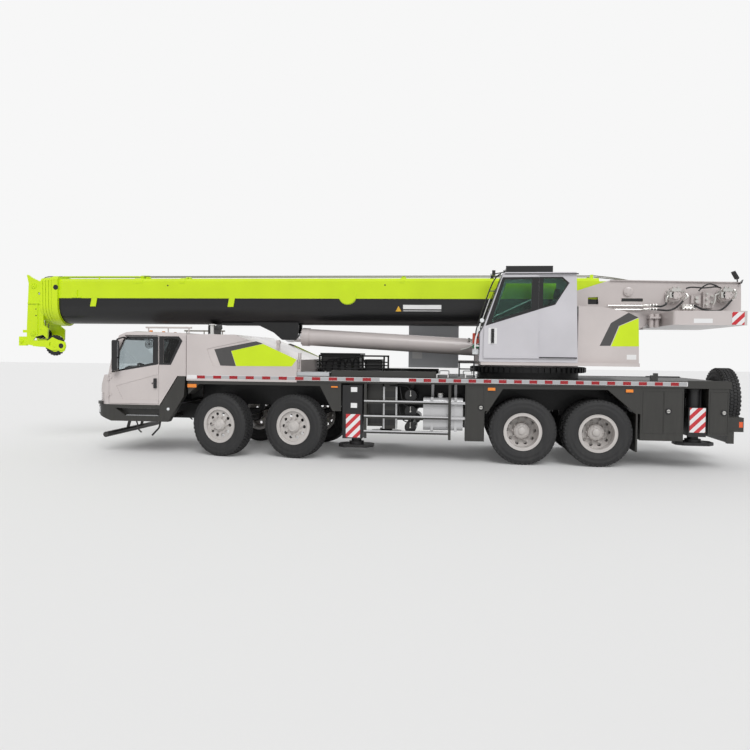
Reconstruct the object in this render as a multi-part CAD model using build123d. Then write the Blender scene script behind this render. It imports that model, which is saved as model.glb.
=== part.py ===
from build123d import *
import os

# Four-axle telescopic truck crane, parked with its boom laid over the driver's cab.
# Millimetres. X points forwards, Y to the machine's left, Z up. The origin is on the
# ground, in the middle of the machine's length and width.

# Clearances
run_fit = 0.3          # round pins and rods in their bores, and sliding pads
wall_gap = 6           # doors and beams in their openings

# Wheels
axle_x = {"one": 2460, "two": 1010, "three": -3240, "four": -4590}
tyre_radius = 613
tyre_width = 314
bead_radius = 306
rim_flange_radius = 350
rim_wall = 12
rim_half = 130
front_plane = 1210     # middle of a single front tyre from the centre line
kingpin_y = 1040
twin_plane = 1045      # middle of a pair of rear tyres
twin_spacing = 350
steer_rest = {"one": 16, "two": 13}   # degrees, turned to the machine's right
hand_holes = 10
hand_hole_radius = 32
spindle_radius = 50
rear_spindle_radius = 60

# Chassis
frame_half = 450
rail_web = 14
rail_flange = 130
frame_bottom = 960
frame_top = 1540
frame_front = 3190
frame_rear = -6860
neck_bottom = 640      # lowered rails under the driver's cab
neck_top = 940
neck_front = 4860
neck_half = 380

# Deck
deck_plate = 40
deck_top = frame_top + deck_plate
body_half = 1400
edge_thick = 15
edge_bottom = 1464
edge_top = 1589
deck_front = 1005

# Slewing
slew_x = -3440
seat_radius = 1000
seat_bottom = 1400
spare_x = -7050        # front face of the spare tyre
spare_z = 1205
rest_half = 250        # boom rest behind the cab
rest_top = 2560
ring_bottom = 1690
ring_top = 1800
ring_radius = 1120
tooth_height = 26
tooth_count = 60

# Outriggers
outer_beam_width = 300
outer_beam_height = 400
beam_wall = 12
beam_bottom = 900
box_mouth = 1010
box_plate = 16
jack_y = 1190
jack_housing = 250
leg_radius = 95
# name, station, side, panel front, panel rear, panel bottom, panel top, foot bottom
outriggers = [
    ("front_left", -130, 1, 115, -258, 420, 1426, 250),
    ("front_right", -470, -1, -225, -598, 420, 1426, 250),
    ("rear_left", -6285, 1, -6140, -6444, 600, 1124, 440),
    ("rear_right", -5945, -1, -5800, -6104, 600, 1124, 440),
]
tube_radius = 112      # round upper part of a rear jack
foot_length = 660
foot_width = 440
foot_thick = 55

# Driver's cab
cab_half = 1375
cab_wall = 45
cab_rear = 3200
cab_corner = 230
cab_bottom = 976
cab_roof = 2414
door_front = 4775
door_rear = 3750
door_bottom = 990
door_top = 2325
hinge_x = 4772
hinge_y = 1378
hinge_levels = (1120, 1440)
knuckle_radius = 14
hinge_pin_radius = 7

# Front end
fascia_low = 650
fascia_front = 5050
slat_count = 4
tow_eye = (5108, 735)
tow_eye_y = 300
tow_bore = 30

# Engine cover
hood_front = 3179
hood_wall = 30
hood_top = 2363

# Superstructure
plate_inner = 400      # inner faces of the two boom-foot plates
plate_thick = 40
table_top = 1890
platform_top = 1900     # under the crane cab and the housings
winch_axes = ((-6110, 3200), (-7036, 3200))
foot_pin = (-5281, 3276)
foot_pin_radius = 90
cab_left = 1380
cab_right = 560
tail_bottom = 2860
tail_rear = -7360
counter_bottom = 2605
counter_half = 1250
counter_front = -5880
counter_rear = -7170

# Lift cylinder
base_pin = (-3300, 2130)
eye_pin = (1450, 2375)
barrel_radius = 175
rod_radius = 115
pin_radius = 70

# Boom: a flat-topped tube with a half-round belly
boom_half = 380
boom_bottom = 2605
boom_top = 3547
boom_wall = 10
boom_step = 32         # each section is this much smaller on every side
boom_rear = -4750
boom_front = 6550
collar_high = 50
collar_long = 135
collar_rise = 34       # collars of the inner sections
collar_fall = 8        # each inner collar stands out this much less
seam_z = 3131          # where the light upper half of the boom ends
tip_teeth = 22
collar_plate = 55
collar_pitch = 70

def save(name, shape):
    """Write one node."""
    export_step(shape, f"parts/{name}.step")


def block(x0, x1, y0, y1, z0, z1):
    """Box between two corners."""
    size = (abs(x1 - x0), abs(y1 - y0), abs(z1 - z0))
    return Pos((x0 + x1) / 2, (y0 + y1) / 2, (z0 + z1) / 2) * Box(*size)


def side_prism(points, y0, y1):
    """Outline of (x, z) points, thick from y0 to y1."""
    low, high = min(y0, y1), max(y0, y1)
    face = make_face(Polyline(*[(x, z) for x, z in points], close=True))
    return Plane((0, high, 0), x_dir=(1, 0, 0), z_dir=(0, -1, 0)) * extrude(face, high - low)


def side_face_prism(face, y0, y1):
    """Face drawn in (x, z), thick from y0 to y1."""
    low, high = min(y0, y1), max(y0, y1)
    return Plane((0, high, 0), x_dir=(1, 0, 0), z_dir=(0, -1, 0)) * extrude(face, high - low)


def plan_prism(points, z0, z1):
    """Outline of (x, y) points, thick from z0 to z1."""
    face = make_face(Polyline(*points, close=True))
    return Pos(0, 0, z0) * extrude(face, z1 - z0)


def front_prism(points, x0, x1):
    """Outline of (y, z) points, thick from x0 to x1."""
    face = make_face(Polyline(*points, close=True))
    low, high = min(x0, x1), max(x0, x1)
    return Plane((low, 0, 0), x_dir=(0, 1, 0), z_dir=(1, 0, 0)) * extrude(face, high - low)


def across(x, z, radius, y0, y1):
    """Cylinder along Y."""
    place = Pos(x, (y0 + y1) / 2, z) * Rot(90, 0, 0)
    return place * Cylinder(radius, abs(y1 - y0))


def upright(x, y, radius, z0, z1):
    """Cylinder along Z."""
    return Pos(x, y, (z0 + z1) / 2) * Cylinder(radius, abs(z1 - z0))


def along(y, z, radius, x0, x1):
    """Cylinder along X."""
    place = Pos((x0 + x1) / 2, y, z) * Rot(0, 90, 0)
    return place * Cylinder(radius, abs(x1 - x0))


def spun(points):
    """Ring about Y from (radius, y) points."""
    return revolve(make_face(Polyline(*points, close=True)), Axis.Y)


def mirrored(shape):
    """The same shape on the other side of the centre line."""
    return mirror(shape, Plane.XZ)


def both(shape):
    """A shape and its mirror image."""
    return shape + mirrored(shape)


# Wheels. Each is drawn about the origin with its axle along Y and its face at +Y.

def tyre():
    """Hollow carcass that sits between the rim flanges."""
    half = tyre_width / 2
    seat = rim_half - run_fit
    crown = tyre_radius - 28
    outer = [
        (bead_radius, seat), (rim_flange_radius + 3, seat), (rim_flange_radius + 12, half - 14),
        (rim_flange_radius + 110, half), (tyre_radius - 60, half - 6), (tyre_radius, half - 42),
    ]
    inner = [
        (crown, half - 60), (tyre_radius - 90, half - 32), (rim_flange_radius + 100, half - 26),
        (rim_flange_radius + 10, seat - 32), (bead_radius, seat - 34),
    ]
    left = outer + [(r, -y) for r, y in reversed(outer)]
    right = [(r, -y) for r, y in reversed(inner)] + inner
    return spun(left + right)


def rim_barrel():
    """Drop-in rim with a flange at each edge."""
    outer = bead_radius - run_fit
    inner = outer - rim_wall
    edge = rim_half + rim_wall
    return spun([
        (inner, -edge), (rim_flange_radius, -edge), (rim_flange_radius, -rim_half),
        (outer, -rim_half), (outer, rim_half), (rim_flange_radius, rim_half),
        (rim_flange_radius, edge), (inner, edge),
    ])


def front_rim():
    """Rim, disc with round hand holes, and hub with a blind bore for the spindle."""
    inner = bead_radius - run_fit - rim_wall
    disc_y = rim_half - 45
    disc = spun([(110, disc_y), (inner + 2, disc_y), (inner + 2, disc_y + 12), (110, disc_y + 12)])
    hub = spun([
        (spindle_radius + run_fit, -70), (120, -70), (120, disc_y + 40), (85, disc_y + 85),
        (0, disc_y + 85), (0, disc_y + 45), (spindle_radius + run_fit, disc_y + 45),
    ])
    wheel = rim_barrel() + disc + hub
    for i in range(hand_holes):
        turn = Rot(0, 360 * i / hand_holes, 0)
        wheel -= turn * across(215, 0, hand_hole_radius, disc_y - 10, disc_y + 30)
    return wheel


def rear_rims():
    """Two rims bolted back to back on one drum and hub."""
    inner = bead_radius - run_fit - rim_wall
    near = twin_spacing / 2 - rim_half - rim_wall
    dish = spun([
        (140, 0), (240, 0), (inner + 2, near + 30), (inner + 2, near + 52), (236, 14), (140, 14),
    ])
    drum = spun([
        (rear_spindle_radius + run_fit, -330), (130, -330), (150, -285), (215, -285), (215, -12),
        (160, -12), (160, 30), (145, 105), (100, 128), (0, 128), (0, 60),
        (rear_spindle_radius + run_fit, 60),
    ])
    barrel = rim_barrel()
    twin = Pos(0, twin_spacing / 2, 0) * barrel + Pos(0, -twin_spacing / 2, 0) * barrel
    twin = twin + dish + mirrored(dish) + drum
    for i in range(hand_holes):
        turn = Rot(0, 360 * i / hand_holes, 0)
        twin -= turn * across(243, 0, hand_hole_radius, -10, 60)
    return twin


def rear_tyres():
    """The pair of tyres of a twin wheel."""
    one = tyre()
    return Pos(0, twin_spacing / 2, 0) * one + Pos(0, -twin_spacing / 2, 0) * one


def knuckle():
    """Boss round the kingpin, with the spindle that carries the wheel."""
    reach = front_plane - kingpin_y
    boss = upright(0, 0, 70, -95, 95)
    arm = across(0, 0, 78, 30, reach - 75)
    shaft = across(0, 0, spindle_radius, 30, reach + 125)
    bore = upright(0, 0, 35 + run_fit, -120, 120)
    return boss + arm + shaft - bore


def facing(side):
    """Turns a piece drawn for the left to face the right."""
    return Rot(0, 0, 0) if side > 0 else Rot(0, 0, 180)


def make_wheels():
    front_tyre = tyre()
    front_wheel = front_rim()
    twin_tyres = rear_tyres()
    twin_rims = rear_rims()
    steer_knuckle = knuckle()
    out = front_plane - kingpin_y
    for axle, station in axle_x.items():
        for side, word in ((1, "left"), (-1, "right")):
            tag = f"{axle}_{word}"
            if axle in steer_rest:
                turned = Rot(0, 0, -steer_rest[axle]) * facing(side)
                pivot = Pos(station, side * kingpin_y, tyre_radius) * turned
                save(f"knuckle_{tag}", pivot * steer_knuckle)
                save(f"tyre_{tag}", pivot * Pos(0, out, 0) * front_tyre)
                save(f"rim_{tag}", pivot * Pos(0, out, 0) * front_wheel)
            else:
                place = Pos(station, side * twin_plane, tyre_radius) * facing(side)
                save(f"tyre_{tag}", place * twin_tyres)
                save(f"rim_{tag}", place * twin_rims)


def leaf_spring(x, y):
    """Stack of leaves over an axle, with a hanger at each end."""
    top = 900
    seat = tyre_radius + 75
    leaves = side_prism([
        (x - 560, top - 40), (x - 560, top), (x - 200, seat + 130), (x + 200, seat + 130),
        (x + 560, top), (x + 560, top - 40), (x + 160, seat), (x - 160, seat),
    ], y - 45, y + 45)
    for end in (-1, 1):
        leaves += block(x + end * 480, x + end * 570, y - 45, y + 45, top - 45, frame_bottom)
    return leaves


def make_axles():
    """Steered beams with kingpins, driven tubes with a differential, and their springs."""
    every = None
    for axle, station in axle_x.items():
        if axle in steer_rest:
            beam = block(station - 65, station + 65, -955, 955, tyre_radius - 75, tyre_radius + 75)
            for side in (1, -1):
                y = side * kingpin_y
                for z in (-125, 100):
                    low = tyre_radius + z
                    beam += block(station - 60, station + 60, side * 900, y, low, low + 25)
                    beam += upright(station, y, 62, low, low + 25)
                beam += block(
                    station - 60, station + 60, side * 880, side * 950,
                    tyre_radius - 125, tyre_radius + 125,
                )
                beam += upright(station, y, 35, tyre_radius - 125, tyre_radius + 125)
        else:
            beam = across(station, tyre_radius, 80, -700, 700)
            beam += across(station, tyre_radius, 230, -130, 130)
            beam += across(station, tyre_radius, rear_spindle_radius, -twin_plane - 50, twin_plane + 50)
            for side in (1, -1):
                beam += across(station, tyre_radius, 140, side * 640, side * 705)
        beam += leaf_spring(station, 430)
        beam += leaf_spring(station, -430)
        every = beam if every is None else every + beam
    save("axles", every)


# Chassis

def rail(x0, x1, half, z0, z1):
    """One channel rail, open towards the middle."""
    flat = [
        (half, z0), (half, z1), (half - rail_flange, z1), (half - rail_flange, z1 - rail_web),
        (half - rail_web, z1 - rail_web), (half - rail_web, z0 + rail_web),
        (half - rail_flange, z0 + rail_web), (half - rail_flange, z0),
    ]
    return front_prism(flat, x0, x1)


def outrigger_box(left, right):
    """Welded box across the chassis that holds a left and a right beam side by side."""
    pocket = outer_beam_width + 2 * wall_gap
    low = beam_bottom - wall_gap - box_plate
    high = beam_bottom + outer_beam_height + wall_gap + box_plate
    ends = sorted((left, right))
    reach = pocket / 2 + box_plate
    box = block(ends[0] - reach, ends[1] + reach, -box_mouth, box_mouth, low, high)
    for station, side in ((left, 1), (right, -1)):
        box -= block(
            station - pocket / 2, station + pocket / 2,
            side * (box_plate - box_mouth), side * (box_mouth + 1),
            low + box_plate, high - box_plate,
        )
        box += block(
            station - 120, station + 120, side * (box_mouth - 160), side * box_mouth,
            low + box_plate, beam_bottom - run_fit,
        )
    return box, block(ends[0] - reach, ends[1] + reach, -frame_half, frame_half, low, high)


def make_frame():
    frame = both(rail(frame_rear, frame_front, frame_half, frame_bottom, frame_top))
    frame += both(rail(frame_front - 100, neck_front, neck_half, neck_bottom, neck_top))
    drop_side = block(frame_front - 100, frame_front, neck_half - 40, frame_half, neck_bottom, frame_top)
    frame += both(drop_side)
    cross = frame_half - rail_web
    # station, length, bottom, top
    for x, long, low, high in (
        (3100, 60, 1000, 1500), (300, 100, 1000, 1500),
        (-1100, 100, 1000, 1500), (-2400, 100, 1000, 1500), (-3915, 140, 1000, 1400),
        (-5200, 100, 1000, 1500), (frame_rear + 30, 60, 960, 1540),
    ):
        frame += block(x - long / 2, x + long / 2, -cross, cross, low, high)
    frame += block(neck_front - 60, neck_front, -neck_half, neck_half, neck_bottom, neck_top)
    for left, right in (outriggers[0:2], outriggers[2:4]):
        box, room = outrigger_box(left[1], right[1])
        frame = frame - room + box
    # Slewing seat, its gussets and the toothed ring
    frame += upright(slew_x, 0, seat_radius, seat_bottom, ring_bottom)
    ring = upright(slew_x, 0, ring_radius, ring_bottom, ring_top)
    frame += ring
    for i in range(tooth_count):
        turn = Pos(slew_x, 0, 0) * Rot(0, 0, 360 * i / tooth_count)
        reach = ring_radius + tooth_height
        frame += turn * block(ring_radius - 10, reach, -30, 30, ring_bottom + 10, ring_top - 10)
    frame -= upright(slew_x, 0, seat_radius - 160, seat_bottom - 1, ring_top + 1)
    # Rest for the boom, behind the driver's cab
    frame += side_prism([
        (3060, frame_top - 40), (3060, 2490), (3030, 2530), (3030, rest_top),
        (3170, rest_top), (3170, frame_top - 40),
    ], -rest_half, rest_half)
    frame += spare_bracket()
    # Two pads on the rest, shaped to the boom's belly
    parts = list(frame.solids())
    for side in (1, -1):
        parts.append(front_prism([
            (side * 150, rest_top), (side * rest_half, rest_top), (side * rest_half, rest_top + 55),
            (side * 150, rest_top + 5),
        ], 3035, 3165).solid())
    save("carrier_frame", Compound(children=parts))


def spare_bracket():
    """Hanger and rim that carry the spare tyre on the rear cross beam."""
    hanger = block(spare_x + 5, frame_rear + 30, -260, 260, spare_z - 230, frame_top - 60)
    hanger += along(0, spare_z, 150, spare_x - 80, spare_x + 10)
    rim = Pos(spare_x - tyre_width / 2, 0, spare_z) * Rot(0, 0, 90) * rim_barrel()
    disc = along(0, spare_z, bead_radius - 6, spare_x - 90, spare_x - 60)
    return hanger + rim + disc


def make_spare():
    place = Pos(spare_x - tyre_width / 2, 0, spare_z) * Rot(0, 0, 90)
    save("spare_tyre", place * tyre())


def make_deck():
    """Deck plate with a hole for the slewing seat and a deep edge down each side."""
    plate = block(deck_front, frame_rear, -body_half, body_half, frame_top, deck_top)
    plate -= upright(slew_x, 0, seat_radius + 10, frame_top - 1, deck_top + 1)
    side = block(deck_front, frame_rear, body_half - edge_thick, body_half, edge_bottom, edge_top)
    deck = plate + both(side)
    curb = block(340, -1630, body_half - 130, body_half - 30, deck_top, 1700)
    step = block(1003, 385, 1000, body_half - 30, deck_top, 1655)
    rear_lip = block(-6130, -6830, body_half - 60, body_half, deck_top, 1602)
    deck += both(curb) + both(step) + both(rear_lip)
    # Stops at the rear end of the left platform
    deck += block(-5487, -5545, 1290, 1385, deck_top, 1690)
    deck += block(-5540, -5605, 1290, 1385, deck_top, 1728)
    save("deck", deck)


def sheet(points, thick, y0, y1):
    """Bent sheet that follows (x, z) points."""
    return side_prism(points + [(x, z + thick) for x, z in reversed(points)], y0, y1)


def door_seam(front, rear, low, high, side):
    """Groove round a locker door."""
    face = body_half - edge_thick
    wide = 9
    ring = block(front, rear, side * (face - 6), side * (face + 1), low, high)
    return ring - block(front - wide, rear + wide, side * (face - 7), side * (face + 2), low + wide, high - wide)


def make_side_boxes():
    """Lockers, wheel arches, side guards, mud flaps, battery boxes and the rear guard."""
    out = body_half - edge_thick
    # front, rear, bottom and top of each locker door
    doors = {
        1: ((-2198, -2518, 450, 1430), (-5345, -5708, 640, 1405), (-5716, -6040, 640, 1405),
            (-6500, -6812, 660, 1405)),
        -1: ((100, -172, 670, 1430), (-2198, -2518, 450, 1430), (-5345, -5720, 640, 1405),
             (-6170, -6484, 660, 1405), (-6492, -6812, 660, 1405)),
    }
    # front, rear, inner y, outer y, bottom of each box behind the guards
    boxes = {
        1: ((-330, -625, 1020, 1180, 640), (-650, -895, 1020, 1230, 600)),
        -1: ((-690, -940, 1020, 1230, 600),),
    }
    # left, right: front of a locker, its rear and its bottom
    lockers = {
        1: ((-2180, -2535, 420), (-5314, -6060, 512), (-6481, -6830, 630)),
        -1: ((120, -190, 640), (-2180, -2535, 420), (-5314, -5740, 512), (-6150, -6830, 630)),
    }
    node = None
    for side in (1, -1):
        a, b = side * 1000, side * out
        pieces = [
            sheet([(3150, 1200), (2930, 1400), (556, 1400), (310, 930), (150, 930)], 25, a, b),
            side_prism([
                (3150, 1225), (3150, edge_bottom), (150, edge_bottom), (150, 950),
                (310, 950), (556, 1420), (2930, 1420),
            ], side * (out - 25), b),
            sheet([(-2560, 930), (-2600, 980), (-2865, 1400), (-4739, 1415), (-5240, 985)], 25, a, b),
            side_prism([
                (-2536, 980), (-2536, frame_top), (-5313, frame_top), (-5313, 985), (-5250, 1005),
                (-4739, 1438), (-2865, 1420), (-2600, 1000),
            ], side * (out - 25), b),
            block(-5240, -5270, side * 740, b, 300, 1020),
        ]
        for front, rear, low in lockers[side]:
            pieces.append(block(front, rear, side * (box_mouth + wall_gap), b, low, frame_top))
        guard_front = -290 if side > 0 else -630
        for z in (1120, 838, 555):
            pieces.append(block(guard_front, -1870, side * (out - 30), b, z - 30, z + 30))
        for x in (guard_front, -1870):
            pieces.append(block(x, x - 50, side * (out - 35), b, 430, frame_top))
        for z in (1120, 838):
            pieces.append(block(-1915, -2185, side * (out - 75), side * (out - 30), z - 26, z + 26))
        for front, rear, y0, y1, bottom in boxes[side]:
            pieces.append(block(front, rear, side * y0, side * y1, bottom, frame_top))
        # Rear lamp box and corner post
        pieces.append(block(-6820, -7100, side * 1050, side * 1350, 700, 955))
        pieces.append(block(-6820, -6930, side * 1290, side * 1375, 490, 705))
        for piece in pieces:
            node = piece if node is None else node + piece
        for door in doors[side]:
            node -= door_seam(*door, side)
    node += block(-6850, -6930, -1370, 1370, 495, 600)
    for lock_x, lock_z in ((-5799, 1049), (-6748, 1039)):
        node -= across(lock_x, lock_z, 42, out - 5, out + 1)
    save("side_boxes", node)


def rounded_tank(x0, x1, y0, y1, z0, z1, radius):
    """Tank with round long edges."""
    tank = block(x0, x1, y0, y1, z0, z1)
    return fillet(tank.edges().filter_by(Axis.X), radius)


def make_tanks():
    """Fuel tank and the stacked air reservoirs behind the side guard."""
    node = None
    for side in (1, -1):
        tank = rounded_tank(-1400, -2140, side * 860, side * 1300, 595, 1205, 90)
        strap_low = 580
        for x in (-1540, -1980):
            tank += block(x, x - 50, side * 850, side * 1310, strap_low, 1218)
            tank += block(x, x - 50, side * 850, side * 900, 1180, frame_top)
        tank += upright(-1719, side * 1120, 52, 1190, 1262)
        for z in (640, 940, 1240):
            tank += across(-1160, z, 110, side * 700, side * 1250)
        tank += block(-1130, -1190, side * 690, side * 740, 560, frame_top)
        node = tank if node is None else node + tank
    save("tanks", node)


# Outriggers

def make_outriggers():
    inner_width = outer_beam_width - 2 * beam_wall - 2 * wall_gap
    inner_height = outer_beam_height - 2 * beam_wall - 2 * wall_gap
    for name, x, side, panel_front, panel_rear, panel_low, panel_top, foot_low in outriggers:
        z0, z1 = beam_bottom, beam_bottom + outer_beam_height
        half = outer_beam_width / 2
        inner_end = side * (30 - box_mouth + 20)
        mouth = side * (box_mouth - 10)
        outer = block(x - half, x + half, inner_end, mouth, z0, z1)
        outer -= block(
            x - half + beam_wall, x + half - beam_wall, inner_end + side * beam_wall,
            mouth + side, z0 + beam_wall, z1 - beam_wall,
        )
        pad_top = z0 + beam_wall + wall_gap - run_fit
        outer += block(x - 90, x + 90, mouth - side * 160, mouth, z0 + beam_wall - 1, pad_top)
        save(f"outrigger_outer_{name}", outer)

        half = inner_width / 2
        low = z0 + beam_wall + wall_gap
        high = low + inner_height
        start = inner_end + side * (beam_wall + 20)
        housing_in = jack_y - jack_housing / 2
        inner = block(x - half, x + half, start, side * (housing_in + 20), low, high)
        inner -= block(
            x - half + beam_wall, x + half - beam_wall, start + side * beam_wall,
            side * housing_in, low + beam_wall, high - beam_wall,
        )
        y = side * jack_y
        hh = jack_housing / 2
        housing_low = foot_low + foot_thick + 110
        if panel_top < 1400:
            inner += block(x - hh, x + hh, y - hh, y + hh, housing_low, panel_top - 10)
            inner += upright(x, y, tube_radius, panel_top - 20, 1420)
            inner += upright(x, y, tube_radius + 14, 1420, 1450)
            inner += block(x - half, x + half, side * (housing_in + 10), side * (jack_y - 40), low, high)
        else:
            inner += block(x - hh, x + hh, y - hh, y + hh, housing_low, 1450)
        panel_y = body_half - 30
        arm_top = min(1300, panel_top - 20)
        inner += block(x - 60, x + 60, side * (jack_y + hh - 5), side * panel_y, 800, arm_top)
        inner += block(panel_front, panel_rear, side * panel_y, side * body_half, panel_low, panel_top)
        inner -= upright(x, y, leg_radius + run_fit, housing_low - 1, 1440)
        save(f"outrigger_inner_{name}", inner)

        cx, cy = foot_length / 2, foot_width / 2
        cut = 110
        plate = plan_prism([
            (x - cx, y - cy + cut), (x - cx + cut, y - cy), (x + cx - cut, y - cy), (x + cx, y - cy + cut),
            (x + cx, y + cy - cut), (x + cx - cut, y + cy), (x - cx + cut, y + cy), (x - cx, y + cy - cut),
        ], foot_low, foot_low + foot_thick)
        leg = plate + upright(x, y, 140, foot_low + foot_thick, foot_low + foot_thick + 50)
        leg += upright(x, y, leg_radius, foot_low + foot_thick, 1400)
        save(f"jack_{name}", leg)


# Driver's cab

def cab_outline():
    """Side outline of the cab."""
    return [
        (cab_rear, 1548), (cab_rear, 2384), (4250, cab_roof), (4440, 2392), (4562, 2330), (4685, 2039),
        (4789, 1556), (4872, 1556), (4960, 1350), (5018, 1150), (4990, cab_bottom), (3735, cab_bottom),
        (3378, 1548),
    ]


def cab_solid(inset):
    """Closed cab body, drawn smaller by inset all round."""
    face = make_face(Polyline(*cab_outline(), close=True))
    if inset:
        face = offset(face, -inset, kind=Kind.INTERSECTION)
    half = cab_half - inset
    body = side_face_prism(face, -half, half)
    front = 5018 - inset
    corner = cab_corner - inset
    plan = Pos((front + cab_rear - 10) / 2, 0, 1700) * Box(front - cab_rear + 10, 2 * half, 2400)
    edges = plan.edges().filter_by(Axis.Z).sort_by(Axis.X)[-2:]
    plan = fillet(edges, corner)
    roof = Pos(4100, 0, cab_roof - inset - 1000) * Box(2400, 2 * half, 2000)
    top = roof.edges().filter_by(Axis.X).sort_by(Axis.Z)[-2:]
    roof = fillet(top, 110 - inset)
    return body & plan & roof


def door_outline(shrink):
    """Side outline of a door or, with no shrink, of its opening."""
    s = shrink
    return [
        (door_rear + s, door_bottom + s), (door_front - s, door_bottom + s), (door_front - s, 1560 - s / 2),
        (4690 - s, 1600), (4600 - s, 1985), (4470 - s, 2270), (4400 - s, door_top - s),
        (door_rear + s, door_top - s),
    ]


def roof_rail(side):
    """Rail along the roof on three feet."""
    y = side * 1000
    rail_z = 2500
    bar = along(y, rail_z, 17, 3230, 4187)
    for x in (3290, 3720, 4130):
        bar += upright(x, y, 12, cab_roof - 40, rail_z)
    return bar


def door_mirror(side):
    """Wide mirror on two arms from the front pillar of a door."""
    y = side * 1500
    root = side * (cab_half - 40)
    shell = block(4520, 4632, y - 45, y + 45, 1640, 2235)
    shell = fillet(shell.edges().filter_by(Axis.Y), 34)
    shell += across(4425, 2288, 13, root, y) + across(4640, 1618, 13, root, y)
    for link in (
        [(4412, 2276), (4412, 2301), (4540, 2262), (4575, 2200), (4550, 2195), (4525, 2240)],
        [(4628, 1606), (4652, 1612), (4620, 1670), (4570, 1680), (4565, 1650), (4605, 1645)],
    ):
        shell += side_prism(link, y - 12, y + 12)
    return shell


def make_driver_cab():
    body = cab_solid(0) - cab_solid(cab_wall)
    shell = body
    # Windscreen
    screen = side_prism([(4860, 1600), (4600, 1600), (4400, 2290), (4700, 2290)], -1180, 1180)
    cab = shell - screen
    window = [(4600, 1650), (3870, 1800), (3870, 2262), (4440, 2262), (4560, 2010)]
    quarter = [(3655, 1800), (3531, 1800), (3330, 2222), (3380, 2270), (3655, 2270)]
    recess = [(4624, 1341), (4490, 1076), (3700, 1079), (3700, 1594)]
    # Slats across the nose
    skin = (cab_solid(0) - cab_solid(16)) & block(4880, 5030, -1400, 1400, 1060, 1206)
    for i in range(slat_count):
        z = 1066 + i * 37
        cab -= skin & block(4880, 5030, -1400, 1400, z, z + 17)
    for side, word in ((1, "left"), (-1, "right")):
        a, b = side * (cab_half - cab_wall - 110), side * (cab_half + 20)
        cab -= side_prism(door_outline(0), a, b)
        cab -= side_prism(quarter, a, b)
        door = shell & side_prism(door_outline(wall_gap), a, b)
        door -= side_prism(window, a, b)
        door -= side_prism(recess, side * (cab_half - 8), side * (cab_half + 20))
        door += block(3800, 3840, side * (cab_half - 12), side * (cab_half + 22), 1320, 1480)
        door += door_mirror(side)
        cab += roof_rail(side)
        # Hinges: the pin and the lower knuckle stay on the cab
        y = side * hinge_y
        strap_in, strap_out = side * (cab_half - 25), side * (hinge_y + 6)
        for z in hinge_levels:
            room = upright(hinge_x, y, knuckle_radius + wall_gap, z - wall_gap, z + 70 + wall_gap)
            cab -= room
            door -= room
            cab += block(hinge_x, hinge_x + 55, strap_in, strap_out, z, z + 34)
            cab += upright(hinge_x, y, knuckle_radius, z, z + 34)
            cab += upright(hinge_x, y, hinge_pin_radius, z, z + 74)
            door += block(hinge_x, hinge_x - 60, strap_in, strap_out, z + 36, z + 70)
            door += upright(hinge_x, y, knuckle_radius, z + 36, z + 70)
            door -= upright(hinge_x, y, hinge_pin_radius + run_fit, z + 35, z + 80)
        save(f"driver_door_{word}", door)
    save("driver_cab", cab)


def make_cab_interior():
    """Two seats, the dashboard with its column, and the engine hump between them."""
    floor = cab_bottom + cab_wall
    rear = 3700
    node = block(4560, 4700, -1150, 1150, 1250, 1500)
    node += block(4380, 4560, -500, 1150, 1300, 1480)
    node += block(4560, 4640, -1100, 1100, floor, 1250)
    for y in (750, -750):
        seat = block(rear, rear + 520, y - 250, y + 250, floor + 330, floor + 450)
        seat += block(rear + 80, rear + 420, y - 180, y + 180, floor, floor + 330)
        seat += side_prism([
            (rear - 40, floor + 430), (rear - 160, 2050), (rear - 60, 2060), (rear + 90, floor + 450),
        ], y - 250, y + 250)
        node += seat
    # Steering wheel on its own column, clear of the dashboard
    tilt = Pos(4280, 750, 1560) * Rot(0, -40, 0)
    steering = tilt * Torus(225, 16) + tilt * Box(60, 450, 24)
    steering += tilt * Pos(0, 0, -40) * Cylinder(35, 90)
    steering += upright(4332, 750, 35, floor, 1500)
    save("driver_cab_interior", Compound(children=list(node.solids()) + list(steering.solids())))


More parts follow.
